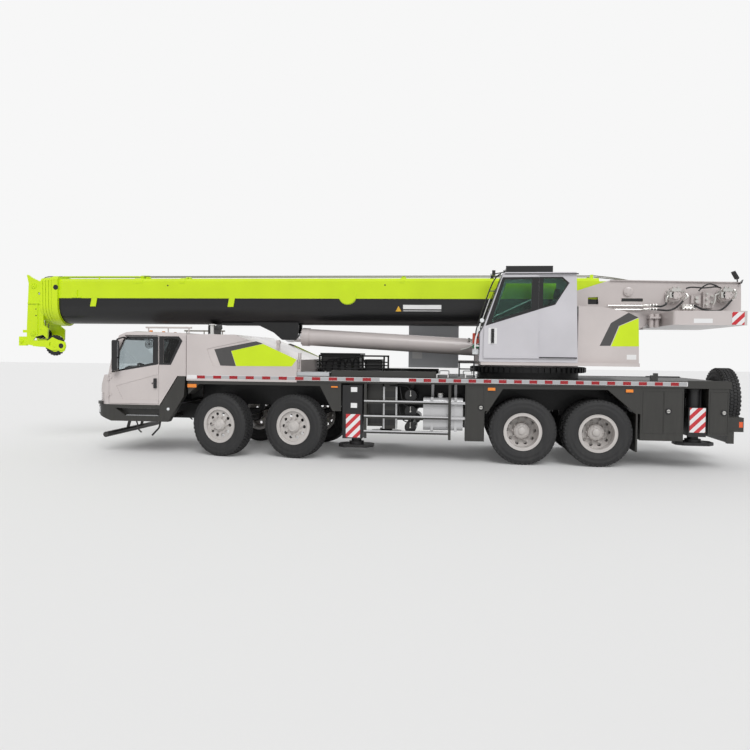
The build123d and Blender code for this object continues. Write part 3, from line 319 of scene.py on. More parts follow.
def clear(name, colour, roughness=0.02, ior=1.45):
    pane = bpy.data.materials.new(name)
    pane.use_nodes = True
    shade = pane.node_tree.nodes["Principled BSDF"]
    shade.inputs["Base Color"].default_value = colour
    shade.inputs["Roughness"].default_value = roughness
    shade.inputs["IOR"].default_value = ior
    shade.inputs["Transmission Weight"].default_value = 1.0
    finishes[name] = pane
    return pane


def splitAt(axis, limit, under, over, mirrored=False):
    # one colour up to a place on an axis, another beyond it; mirrored counts both ways from the centre line
    def build(tree):
        place = placeOf(tree)[axis]
        if mirrored:
            place = maths(tree, "ABSOLUTE", place, 0.0)
        return blendColour(tree, maths(tree, "GREATER_THAN", place, limit), under, over)
    return build


def discMask(tree, place, x, z, radius):
    away = maths(tree, "POWER", maths(tree, "SUBTRACT", place["X"], x), 2)
    down = maths(tree, "POWER", maths(tree, "SUBTRACT", place["Z"], z), 2)
    return maths(tree, "LESS_THAN", maths(tree, "ADD", away, down), radius ** 2)


boomLook = {"seam": 3.131, "collarStart": 6.410, "boss": (0.197, 3.195, 0.186)}  # boss: X, Z, radius
headLook = {
    "tip": (6.475, 2.127),        # X and Z of the folded tip sheave
    "tipRim": (0.235, 0.135),
    "tipSides": (0.374, 0.432),
    "sheaves": ((7.006, 3.400, 0.115), (7.025, 2.380, 0.103)),
    "plateInside": 0.25,
}
paintEdges = {
    "door": 1.402,                # what stands out further is the black mirror and its arm
    "winchPlate": 0.42,           # motors outside the plate are painted like it
    "fuelTank": -1.32,            # black air reservoirs in front of the silver tanks
    "cabinet": -2.2,              # the right cabinet in front of the housings
    "craneRoof": 3.546,
    "hoodTop": 2.366,
}
bandPitch = 0.185


def boomColours(tree):
    # lime above the seam, from the front collar on and round the boss, and black below
    place = placeOf(tree)
    over = maths(tree, "GREATER_THAN", place["Z"], boomLook["seam"])
    front = maths(tree, "GREATER_THAN", place["X"], boomLook["collarStart"])
    mask = maths(tree, "MAXIMUM", maths(tree, "MAXIMUM", over, front), discMask(tree, place, *boomLook["boss"]))
    return blendColour(tree, mask, deepBlack, lime)


def headColours(tree):
    # lime, with the rim of the tip sheave and the sheaves between the plates black
    place = placeOf(tree)
    outer, inner = [discMask(tree, place, *headLook["tip"], radius) for radius in headLook["tipRim"]]
    low, high = headLook["tipSides"]
    rim = maths(tree, "SUBTRACT", outer, inner, clamp=True)
    rim = maths(tree, "MULTIPLY", rim, maths(tree, "GREATER_THAN", place["Y"], low))
    rim = maths(tree, "MULTIPLY", rim, maths(tree, "LESS_THAN", place["Y"], high))
    inside = maths(tree, "LESS_THAN", maths(tree, "ABSOLUTE", place["Y"], 0.0), headLook["plateInside"])
    sheaves = maths(tree, "MAXIMUM", *[discMask(tree, place, *disc) for disc in headLook["sheaves"]])
    dark = maths(tree, "MAXIMUM", rim, maths(tree, "MULTIPLY", sheaves, inside))
    return blendColour(tree, dark, lime, deepBlack)


def slantedBands(tree):
    bands = tree.nodes.new("ShaderNodeGroup")
    bands.node_tree = diagonalBands
    bands.inputs["Pitch"].default_value = bandPitch
    return blendColour(tree, bands.outputs["Mask"], bandWhite, bandRed)


painted("limePaint", lime, 0.34, 0.04, coat=0.05)
painted("boomPaint", lime, 0.34, 0.04, coat=0.05, colourFrom=boomColours)
painted("headPaint", lime, 0.34, 0.04, coat=0.05, colourFrom=headColours)
painted("winchPaint", castGrey, 0.38, 0.08, coat=0.15,
        colourFrom=splitAt("Y", paintEdges["winchPlate"], castGrey, warmGrey, mirrored=True))
painted("tankPaint", silver, 0.35, 0.08, metallic=0.25,
        colourFrom=splitAt("X", paintEdges["fuelTank"], silver, deepBlack))
painted("housingPaint", warmGrey, 0.34, 0.06,
        colourFrom=splitAt("X", paintEdges["cabinet"], warmGrey, cabinetGrey))
painted("carrierGrey", warmGrey, 0.32, 0.08)
painted("doorPaint", warmGrey, 0.32, 0.08,
        colourFrom=splitAt("Y", paintEdges["door"], warmGrey, deepBlack, mirrored=True))
painted("upperGrey", warmGrey, 0.34, 0.06)
painted("cabGrey", coolGrey, 0.30, 0.05)
painted("craneCabPaint", coolGrey, 0.30, 0.05,
        colourFrom=splitAt("Z", paintEdges["craneRoof"], coolGrey, deepBlack))
painted("coverPaint", warmGrey, 0.32, 0.08, colourFrom=splitAt("Z", paintEdges["hoodTop"], warmGrey, coverWhite))
painted("skirtPaint", skirtGrey, 0.42, 0.05, coat=0.15)
painted("chassisPaint", deepBlack, 0.48, 0.04, 0.05, coat=0.1)
painted("blackTrim", deepBlack, 0.38, 0.10, coat=0.2)
painted("windowBlack", (0.006, 0.006, 0.007, 1), 0.12, 0.05, 0.0, coat=0.6)
painted("darkDecal", (0.062, 0.060, 0.060, 1), 0.34, 0.12)
painted("rimPaint", (0.56, 0.53, 0.51, 1), 0.34, 0.12)
painted("tyreRubber", (0.024, 0.024, 0.025, 1), 0.70, 0.04, 0.35, coat=0.0)
painted("hoseRubber", (0.010, 0.010, 0.011, 1), 0.45, 0.05, 0.08, coat=0.1)
painted("zincFitting", (0.72, 0.71, 0.68, 1), 0.28, 0.10, 0.02, coat=0.0, metallic=0.9)
painted("bareAluminium", (0.66, 0.67, 0.69, 1), 0.30, 0.10, 0.05, coat=0.0, metallic=0.85)
painted("silverPaint", silver, 0.35, 0.08, metallic=0.25)
painted("hardChrome", (0.75, 0.75, 0.76, 1), 0.10, 0.03, 0.0, coat=0.0, metallic=1.0)
painted("castIron", castGrey, 0.65, 0.2, 0.3, coat=0.0)
painted("ropeSteel", (0.22, 0.21, 0.19, 1), 0.45, 0.1, 0.2, coat=0.0, metallic=0.7)
painted("cabTrim", (0.028, 0.029, 0.031, 1), 0.6, 0.05, 0.15, coat=0.0)
painted("seatCloth", (0.035, 0.037, 0.042, 1), 0.9, 0.02, 0.6, coat=0.0)
painted("whiteBand", bandWhite, 0.28, 0.10)
painted("redBand", (0.34, 0.006, 0.012, 1), 0.25, 0.06)
painted("greyBand", (0.42, 0.42, 0.43, 1), 0.28, 0.06)
painted("darkPanel", (0.045, 0.046, 0.048, 1), 0.40, 0.06)
painted("orangeLens", (0.80, 0.10, 0.01, 1), 0.15, 0.02, 0.0, coat=0.8)
painted("whitePlate", (0.80, 0.80, 0.80, 1), 0.35, 0.08)
painted("yellowPlastic", (0.75, 0.42, 0.02, 1), 0.4, 0.1)
painted("redPlastic", (0.50, 0.05, 0.02, 1), 0.35, 0.05)
painted("greenPlastic", (0.01, 0.16, 0.06, 1), 0.35, 0.05)
painted("amberLens", (0.85, 0.24, 0.01, 1), 0.15, 0.02, 0.0, coat=0.8)
painted("redLens", (0.60, 0.02, 0.01, 1), 0.15, 0.02, 0.0, coat=0.8)
painted("clearLens", (0.78, 0.80, 0.82, 1), 0.10, 0.02, 0.0, coat=0.9)
painted("warnPlate", lime, 0.3, 0.08, colourFrom=slantedBands)
clear("cabGlass", (0.80, 0.86, 0.88, 1))
clear("smokeGlass", (0.10, 0.11, 0.11, 1))
clear("greenGlass", (0.52, 0.80, 0.70, 1))
painted("mirrorSilver", (0.90, 0.91, 0.92, 1), 0.03, 0.0, 0.0, coat=0.0, metallic=1.0)
print("materials made:", len(finishes))

# mesh helpers

axisTurns = {"Y": lambda a, b, d: (a, d, b), "Z": lambda a, b, d: (a, b, d), "X": lambda a, b, d: (d, a, b)}


def anglesOf(count):
    return [2 * math.pi * k / count for k in range(count)]


class Shape:  # gathers the parts of one piece in one mesh
    def __init__(self):
        self.work = bmesh.new()

    def add(self, points, faces):
        made = [self.work.verts.new(p) for p in points]
        for face in faces:
            self.work.faces.new([made[i] for i in face])

    def prism(self, outline, low, high, axis="Y"):
        turn = axisTurns[axis]
        count = len(outline)
        points = [turn(a, b, d) for d in (low, high) for a, b in outline]
        sides = [(i, (i + 1) % count, count + (i + 1) % count, count + i) for i in range(count)]
        self.add(points, [tuple(range(count)), tuple(range(2 * count - 1, count - 1, -1))] + sides)
        return self

    def box(self, x0, x1, y0, y1, z0, z1):
        return self.prism([(x0, z0), (x1, z0), (x1, z1), (x0, z1)], y0, y1)

    def frame(self, outer, inner, low, high, axis="Y"):
        # flat ring between two outlines with as many corners
        turn = axisTurns[axis]
        count = len(outer)
        points = [turn(a, b, d) for d in (low, high) for ring in (outer, inner) for a, b in ring]
        faces = []
        for i in range(count):
            j = (i + 1) % count
            faces += [(i, j, count + j, count + i), (2 * count + i, 3 * count + i, 3 * count + j, 2 * count + j),
                      (i, 2 * count + i, 2 * count + j, j), (count + i, count + j, 3 * count + j, 3 * count + i)]
        self.add(points, faces)
        return self

    def rod(self, start, end, radius, sides=16, endRadius=None):
        endRadius = radius if endRadius is None else endRadius
        start, end = Vector(start), Vector(end)
        turn = (end - start).to_track_quat("Z", "Y").to_matrix()
        rings = [[centre + turn @ Vector((math.cos(a) * r, math.sin(a) * r, 0)) for a in anglesOf(sides)]
                 for centre, r in ((start, radius), (end, endRadius))]
        faces = [tuple(range(sides)), tuple(range(2 * sides - 1, sides - 1, -1))]
        faces += [(i, (i + 1) % sides, sides + (i + 1) % sides, sides + i) for i in range(sides)]
        self.add(rings[0] + rings[1], faces)
        return self

    def pipe(self, path, radius, sides=10, smooth=6):
        points = smoothed([Vector(p) for p in path], smooth)
        side = None
        rings = []
        for i, point in enumerate(points):
            ahead = (points[min(i + 1, len(points) - 1)] - points[max(i - 1, 0)]).normalized()
            side = ahead.orthogonal() if side is None else side - ahead * side.dot(ahead)
            side.normalize()
            over = ahead.cross(side)
            rings.append([point + side * math.cos(a) * radius + over * math.sin(a) * radius
                          for a in anglesOf(sides)])
        faces = [tuple(range(sides)), tuple(range(len(points) * sides - 1, (len(points) - 1) * sides - 1, -1))]
        for i in range(len(points) - 1):
            a, b = i * sides, (i + 1) * sides
            faces += [(a + k, a + (k + 1) % sides, b + (k + 1) % sides, b + k) for k in range(sides)]
        self.add([p for ring in rings for p in ring], faces)
        return self

    def lathe(self, profile, centre=(0, 0, 0), axis="Y", steps=64, closed=False):
        # profile is (radius, distance along the axis); its ends close on the axis when their radius is 0
        turn, centre = axisTurns[axis], Vector(centre)
        rings = []
        for radius, along in profile:
            if radius < 1e-6:
                rings.append([self.work.verts.new(centre + Vector(turn(0, 0, along)))])
                continue
            rings.append([self.work.verts.new(centre + Vector(turn(radius * math.cos(a),
                                                                   radius * math.sin(a), along)))
                          for a in anglesOf(steps)])
        pairs = list(zip(rings, rings[1:] + rings[:1] if closed else rings[1:]))
        for first, second in pairs:
            for k in range(steps):
                j = (k + 1) % steps
                corners = []
                for vert in (first[k % len(first)], first[j % len(first)], second[j % len(second)],
                             second[k % len(second)]):
                    if vert not in corners:
                        corners.append(vert)
                if len(corners) > 2:
                    self.work.faces.new(corners)
        return self

    def take(self, mesh, matrix=None):
        # adds a mesh, moved by the matrix
        copy = mesh.copy()
        if matrix is not None:
            copy.transform(matrix)
        self.work.from_mesh(copy)
        bpy.data.meshes.remove(copy)
        return self

    def bothSides(self):
        # adds the mirror image over the centre line
        geometry = self.work.verts[:] + self.work.edges[:] + self.work.faces[:]
        made = bmesh.ops.duplicate(self.work, geom=geometry)["geom"]
        for vert in made:
            if isinstance(vert, bmesh.types.BMVert):
                vert.co.y = -vert.co.y
        return self

    def mesh(self, name):
        bmesh.ops.recalc_face_normals(self.work, faces=self.work.faces[:])
        made = bpy.data.meshes.new(name)
        self.work.to_mesh(made)
        self.work.free()
        return made

    def piece(self, name, material, body, slot=None, bevel=0.0, sharp=35):
        return showPiece(name, self.mesh(name), material, body, bevel, sharp)


def smoothed(points, steps):
    # Catmull-Rom line through the points
    if steps < 2 or len(points) < 3:
        return points
    line = []
    for i in range(len(points) - 1):
        before, start, end = points[max(i - 1, 0)], points[i], points[i + 1]
        after = points[min(i + 2, len(points) - 1)]
        for k in range(steps):
            t = k / steps
            line.append(0.5 * (2 * start + (end - before) * t
                               + (2 * before - 5 * start + 4 * end - after) * t * t
                               + (3 * start - before - 3 * end + after) * t ** 3))
    return line + [points[-1]]


bevelAngle = 40  # degrees; flatter edges get no bevel


def showPiece(name, mesh, material, body, bevel=0.0, sharp=35):
    mesh.materials.clear()
    mesh.materials.append(finishes[material])
    mesh.polygons.foreach_set("use_smooth", [True] * len(mesh.polygons))
    mesh.set_sharp_from_angle(angle=math.radians(sharp))
    shown = bpy.data.objects.new(name, mesh)
    bpy.context.scene.collection.objects.link(shown)
    if bevel:
        soft = shown.modifiers.new("softEdge", "BEVEL")
        soft.width = bevel
        soft.segments = 2
        soft.limit_method = "ANGLE"
        soft.angle_limit = math.radians(bevelAngle)
        soft.use_clamp_overlap = True
        soft.harden_normals = True
    if body:
        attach(shown, body)
    return shown


# node trees that repeat a block


def wire(tree, *pairs):
    for start, end in pairs:
        tree.links.new(start, end)


def repeatTree(name, inputs):
    tree = bpy.data.node_groups.new(name, "GeometryNodeTree")
    tree.interface.new_socket("Geometry", in_out="INPUT", socket_type="NodeSocketGeometry")
    for label, kind, value in inputs:
        socket = tree.interface.new_socket(label, in_out="INPUT", socket_type=kind)
        if value is not None:
            socket.default_value = value
    tree.interface.new_socket("Material", in_out="INPUT", socket_type="NodeSocketMaterial")
    tree.interface.new_socket("Geometry", in_out="OUTPUT", socket_type="NodeSocketGeometry")
    return tree, tree.nodes.new("NodeGroupInput"), tree.nodes.new("NodeGroupOutput")


def finishTree(tree, given, made, instances):
    real = tree.nodes.new("GeometryNodeRealizeInstances")
    coat = tree.nodes.new("GeometryNodeSetMaterial")
    wire(tree, (instances, real.inputs[0]), (real.outputs[0], coat.inputs["Geometry"]),
         (given.outputs["Material"], coat.inputs["Material"]), (coat.outputs[0], made.inputs[0]))


def makeRowTree():
    # blocks of one size, a step apart
    tree, given, made = repeatTree("blockRow", (
        ("Count", "NodeSocketInt", 5), ("Step", "NodeSocketVector", (0.1, 0, 0)),
        ("Size", "NodeSocketVector", (0.02, 0.02, 0.02))))
    line = tree.nodes.new("GeometryNodeMeshLine")
    block = tree.nodes.new("GeometryNodeMeshCube")
    place = tree.nodes.new("GeometryNodeInstanceOnPoints")
    wire(tree, (given.outputs["Count"], line.inputs["Count"]), (given.outputs["Step"], line.inputs["Offset"]),
         (given.outputs["Size"], block.inputs["Size"]), (line.outputs[0], place.inputs["Points"]),
         (block.outputs[0], place.inputs["Instance"]))
    finishTree(tree, given, made, place.outputs[0])
    return tree


def ringPlacing(tree, count, radius, instance):
    # instances round the Z axis, each turned to face outwards
    ring = tree.nodes.new("GeometryNodeMeshCircle")
    order = tree.nodes.new("GeometryNodeInputIndex")
    turn = tree.nodes.new("ShaderNodeCombineXYZ")
    euler = tree.nodes.new("FunctionNodeEulerToRotation")
    place = tree.nodes.new("GeometryNodeInstanceOnPoints")
    angle = maths(tree, "MULTIPLY", order.outputs[0], maths(tree, "DIVIDE", 2 * math.pi, count))
    wire(tree, (count, ring.inputs["Vertices"]), (radius, ring.inputs["Radius"]), (angle, turn.inputs["Z"]),
         (turn.outputs[0], euler.inputs[0]), (ring.outputs[0], place.inputs["Points"]),
         (instance, place.inputs["Instance"]), (euler.outputs[0], place.inputs["Rotation"]))
    return place.outputs[0]


def makeRingTree():
    # blocks round a ring, such as tread blocks or gear teeth
    tree, given, made = repeatTree("blockRing", (
        ("Count", "NodeSocketInt", 48), ("Radius", "NodeSocketFloat", 0.6),
        ("Size", "NodeSocketVector", (0.02, 0.05, 0.05)),
        ("Skew", "NodeSocketFloat", 0.0)))
    block = tree.nodes.new("GeometryNodeMeshCube")
    lean = tree.nodes.new("ShaderNodeCombineXYZ")
    leant = tree.nodes.new("GeometryNodeTransform")
    wire(tree, (given.outputs["Size"], block.inputs["Size"]), (given.outputs["Skew"], lean.inputs["X"]),
         (block.outputs[0], leant.inputs["Geometry"]), (lean.outputs[0], leant.inputs["Rotation"]))
    rings = ringPlacing(tree, given.outputs["Count"], given.outputs["Radius"], leant.outputs[0])
    finishTree(tree, given, made, rings)
    return tree


def makeNutTree():
    # nuts or bolt heads on a ring, standing along Z
    tree, given, made = repeatTree("nutRing", (
        ("Count", "NodeSocketInt", 10), ("Radius", "NodeSocketFloat", 0.17),
        ("Nut Radius", "NodeSocketFloat", 0.018),
        ("Nut Height", "NodeSocketFloat", 0.03), ("Sides", "NodeSocketInt", 6)))
    nut = tree.nodes.new("GeometryNodeMeshCylinder")
    wire(tree, (given.outputs["Sides"], nut.inputs["Vertices"]),
         (given.outputs["Nut Radius"], nut.inputs["Radius"]),
         (given.outputs["Nut Height"], nut.inputs["Depth"]))
    rings = ringPlacing(tree, given.outputs["Count"], given.outputs["Radius"], nut.outputs["Mesh"])
    finishTree(tree, given, made, rings)
    return tree


def grow(tree, material, **values):
    # runs a tree on an empty mesh and returns the plain mesh that it makes
    carrier = bpy.data.objects.new("grown", bpy.data.meshes.new("grown"))
    bpy.context.scene.collection.objects.link(carrier)
    modifier = carrier.modifiers.new("grow", "NODES")
    modifier.node_group = tree
    named = {label.replace("_", " "): value for label, value in values.items()}
    named["Material"] = finishes[material]
    for item in tree.interface.items_tree:
        if item.in_out == "INPUT" and item.name in named:
            modifier[item.identifier] = named[item.name]
    carrier.update_tag()
    made = bpy.data.meshes.new_from_object(carrier.evaluated_get(bpy.context.evaluated_depsgraph_get()))
    carrier.modifiers.remove(modifier)
    bpy.data.objects.remove(carrier)
    return made


blockRow = makeRowTree()
blockRing = makeRingTree()
nutRing = makeNutTree()
alongY = Matrix.Rotation(-math.pi / 2, 4, "X")  # turns a ring about Z into a ring about Y
print("node trees built")

# bare CAD nodes: each keeps its shape and gets its finish

wheelNames = [f"{axle}_{side}" for axle in ("one", "two", "three", "four") for side in ("left", "right")]
corners = [f"{end}_{side}" for end in ("front", "rear") for side in ("left", "right")]
dressing = {
    "carrierGrey": ["driver_cab"],
    "coverPaint": ["engine_cover"],
    "doorPaint": ["driver_door_left", "driver_door_right"],
    "cabGrey": ["crane_cab_door"],
    "craneCabPaint": ["crane_cab"],
    "upperGrey": ["turntable", "counterweight", "lift_cylinder_barrel"],
    "housingPaint": ["side_housings"],
    "skirtPaint": ["side_boxes", "front_bumper", "deck"],
    "chassisPaint": ["carrier_frame", "axles"] + [f"knuckle_{name}" for name in wheelNames[:4]]
                    + [f"{kind}_{corner}" for kind in ("outrigger_inner", "outrigger_outer",
                                                       "jack") for corner in corners],
    "castIron": ["engine"],
    "winchPaint": ["winches"],
    "tankPaint": ["tanks"],
    "cabTrim": ["driver_cab_interior", "crane_cab_interior"],
    "hardChrome": ["lift_cylinder_rod"],
    "boomPaint": ["boom_base"],
    "limePaint": ["boom_section_2", "boom_section_3", "boom_section_4"],
    "headPaint": ["boom_section_5"],
    "rimPaint": [f"rim_{name}" for name in wheelNames],
    "tyreRubber": ["spare_tyre"] + [f"tyre_{name}" for name in wheelNames],
}


smoothLimit, weldReach = 0.5, 0.00002  # radians and metres


def makeSoftTree():
    # joins the loose triangles and shades curved faces smooth, with edges over the limit kept sharp
    tree = bpy.data.node_groups.new("softShading", "GeometryNodeTree")
    tree.interface.new_socket("Geometry", in_out="INPUT", socket_type="NodeSocketGeometry")
    limit = tree.interface.new_socket("Limit", in_out="INPUT", socket_type="NodeSocketFloat")
    limit.default_value = smoothLimit
    tree.interface.new_socket("Geometry", in_out="OUTPUT", socket_type="NodeSocketGeometry")
    given, made = tree.nodes.new("NodeGroupInput"), tree.nodes.new("NodeGroupOutput")
    plain = tree.nodes.new("GeometryNodeRemoveAttribute")
    plain.inputs["Name"].default_value = "custom_normal"
    weld = tree.nodes.new("GeometryNodeMergeByDistance")
    weld.inputs["Distance"].default_value = weldReach
    faces = tree.nodes.new("GeometryNodeSetShadeSmooth")
    edges = tree.nodes.new("GeometryNodeSetShadeSmooth")
    edges.domain = "EDGE"
    bend = tree.nodes.new("GeometryNodeInputMeshEdgeAngle")
    flat = maths(tree, "LESS_THAN", bend.outputs["Unsigned Angle"], given.outputs["Limit"])
    wire(tree, (given.outputs["Geometry"], plain.inputs[0]), (plain.outputs[0], weld.inputs["Geometry"]),
         (weld.outputs[0], faces.inputs["Geometry"]), (faces.outputs[0], edges.inputs["Geometry"]),
         (flat, edges.inputs["Shade Smooth"]), (edges.outputs[0], made.inputs[0]))
    return tree


softShading = makeSoftTree()
for finish, names in dressing.items():
    for name in names:
        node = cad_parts[name]
        node.data.materials.clear()
        node.data.materials.append(finishes[finish])
        smooth = node.modifiers.new("softShading", "NODES")
        smooth.node_group = softShading
print("frame dressed")

# wheels

wheelLook = {
    "treadBase": 0.598,
    "treadTop": 0.6125,
    "treadBlocks": 58,
    "treadRows": (-0.094, -0.033, 0.033, 0.094),
    "blockSize": (0.024, 0.050, 0.050),   # radial, round the tyre, across it
    "shoulderBlocks": 44,
    "nutCircle": 0.1675,
    "nutRadius": 0.016,
    "wheelNuts": 10,
    "steerPivot": 1.040,                  # centre line to the steering axis, and on to the wheel's middle
    "spindle": 0.170,
    "rearTrack": 1.045,
}
axleStations = {"one": 2.460, "two": 1.010, "three": -3.240, "four": -4.590}
steerRest = {"one": 16, "two": 13}  # degrees
hubHeight = 0.613
twinStep = 0.175


def tyreMesh():
    base, top = wheelLook["treadBase"], wheelLook["treadTop"]
    half = [
        (0.3060, 0.1270), (0.3510, 0.1295), (0.3600, 0.1400), (0.3700, 0.1440), (0.3760, 0.1425),
        (0.3830, 0.1460),
        (0.4020, 0.1500), (0.4050, 0.1482), (0.4110, 0.1500), (0.4550, 0.1560), (0.4700, 0.1568),
        (0.4730, 0.1555),
        (0.5200, 0.1545), (0.5260, 0.1560), (0.5420, 0.1535), (0.5560, 0.1470), (0.5860, 0.1350),
        (0.5980, 0.1260),
        (base, 0.1130),
    ]
    ring = half + [(r, -y) for r, y in reversed(half)]
    tyre = Shape().lathe(ring, steps=96, closed=True)
    height = wheelLook["blockSize"][0]
    for i, across in enumerate(wheelLook["treadRows"]):
        blocks = grow(blockRing, "tyreRubber", Count=wheelLook["treadBlocks"], Radius=top - height / 2,
                      Size=wheelLook["blockSize"], Skew=0.25 if i % 2 else -0.25)
        turn = Matrix.Rotation(math.pi * i / wheelLook["treadBlocks"], 4, "Y")
        tyre.take(blocks, Matrix.Translation((0, across, 0)) @ turn @ alongY)
    for side in (1, -1):
        lugs = grow(blockRing, "tyreRubber", Count=wheelLook["shoulderBlocks"], Radius=0.585,
                    Size=(0.030, 0.044, 0.020), Skew=0.0)
        tyre.take(lugs, Matrix.Translation((0, side * 0.1330, 0)) @ alongY)
    return tyre.mesh("tyre")


def wheelPlace(axle, side):
    turned = Matrix.Rotation(math.pi if side < 0 else 0, 4, "Z")
    if axle in steerRest:
        lean = Matrix.Rotation(-math.radians(steerRest[axle]), 4, "Z")
        pivot = Matrix.Translation((axleStations[axle], side * wheelLook["steerPivot"], hubHeight))
        return pivot @ lean @ turned @ Matrix.Translation((0, wheelLook["spindle"], 0))
    return Matrix.Translation((axleStations[axle], side * wheelLook["rearTrack"], hubHeight)) @ turned


def wheelFittings(front):
    # nuts and caps of one wheel, drawn for the left side
    fit = Shape()
    circle, nut = wheelLook["nutCircle"], wheelLook["nutRadius"]
    face = 0.097 if front else 0.030
    # radius, height, sides and place of the nuts, washers and studs
    for radius, height, sides, out in ((nut, 0.050, 6, 0.020), (nut * 1.4, 0.014, 16, 0.004),
                                       (nut * 0.5, 0.070, 10, 0.032)):
        ring = grow(nutRing, "rimPaint", Count=wheelLook["wheelNuts"], Radius=circle, Nut_Radius=radius,
                    Nut_Height=height, Sides=sides)
        fit.take(ring, Matrix.Translation((0, face + out, 0)) @ alongY)
    if front:
        fit.lathe([(0.0, 0.176), (0.052, 0.176), (0.058, 0.171), (0.058, 0.160)], steps=36)
        cap = grow(nutRing, "rimPaint", Count=8, Radius=0.102, Nut_Radius=0.008, Nut_Height=0.020, Sides=6)
        fit.take(cap, Matrix.Translation((0, 0.132, 0)) @ alongY)
        fit.lathe([(0.345, 0.144), (0.350, 0.1475), (0.340, 0.1475), (0.336, 0.144)], steps=72, closed=True)
        fit.rod((0.262, 0.088, 0.0), (0.285, 0.128, 0.0), 0.006, 10)
    else:
        cap = grow(nutRing, "rimPaint", Count=10, Radius=0.116, Nut_Radius=0.009, Nut_Height=0.026, Sides=6)
        fit.take(cap, Matrix.Translation((0, 0.122, 0)) @ alongY)
        fit.lathe([(0.0, 0.160), (0.058, 0.160), (0.070, 0.150), (0.074, 0.126)], steps=36)
        fit.lathe([(0.345, 0.319), (0.350, 0.3225), (0.340, 0.3225), (0.336, 0.319)], steps=72, closed=True)
        fit.rod((0.262, 0.240, 0.0), (0.282, 0.300, 0.0), 0.006, 10)
    return fit.mesh("wheelFittings")


def fitWheels():
    plain = tyreMesh()
    fittings = {True: wheelFittings(True), False: wheelFittings(False)}
    for axle in axleStations:
        front = axle in steerRest
        for side, word in ((1, "left"), (-1, "right")):
            place, body = wheelPlace(axle, side), f"wheel_{axle}_{word}"
            rubber = Shape()
            for out in ((0.0,) if front else (twinStep, -twinStep)):
                rubber.take(plain, place @ Matrix.Translation((0, out, 0)))
            tyre = rubber.piece(f"treadedTyre_{axle}_{word}", "tyreRubber", body, "tyre", sharp=40)
            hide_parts(f"tyre_{axle}_{word}")
            Shape().take(fittings[front], place).piece(f"wheelNuts_{axle}_{word}", "rimPaint", body,
                                                       "rim", sharp=40)
    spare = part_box("spare_tyre")
    middle = [(low + high) / 2 for low, high in zip(*spare)]
    lay = Matrix.Translation(middle) @ Matrix.Rotation(math.pi / 2, 4, "Z")
    tyre = Shape().take(plain, lay).piece("treadedSpare", "tyreRubber", "carrier", "tyre", sharp=40)
    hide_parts("spare_tyre")
    for mesh in [plain] + list(fittings.values()):
        bpy.data.meshes.remove(mesh)


fitWheels()
print("wheels fitted")

# driver's cab

cabLook = {
    "glassThickness": 0.006,
    "glassInset": 0.014,
    "surroundProud": 0.003,
    "cabHalf": 1.375,
}
screenLine = [(4.780, 1.600), (4.685, 2.039), (4.579, 2.290)]
doorWindow = [(4.600, 1.650), (3.870, 1.800), (3.870, 2.262), (4.440, 2.262), (4.500, 2.136), (4.560, 2.010)]
doorSurround = [(4.652, 1.612), (3.762, 1.770), (3.762, 2.312), (4.400, 2.312), (4.462, 2.264), (4.586, 1.985)]
quarterWindow = [(3.655, 1.800), (3.531, 1.800), (3.330, 2.222), (3.380, 2.270), (3.655, 2.270)]
quarterSurround = [(3.742, 1.762), (3.505, 1.762), (3.270, 2.232), (3.345, 2.318), (3.742, 2.318)]


def shifted(line, dx, dz=0.0):
    return [(x + dx, z + dz) for x, z in line]


def strip(line, inner, outer):
    # closed outline of a strip in front of a line, between two distances
    return shifted(line, outer) + list(reversed(shifted(line, inner)))


def grown(outline, reach):
    middleX = sum(x for x, z in outline) / len(outline)
    middleZ = sum(z for x, z in outline) / len(outline)
    longest = max(math.hypot(x - middleX, z - middleZ) for x, z in outline)
    scale = 1 + reach / longest
    return [(middleX + (x - middleX) * scale, middleZ + (z - middleZ) * scale) for x, z in outline]


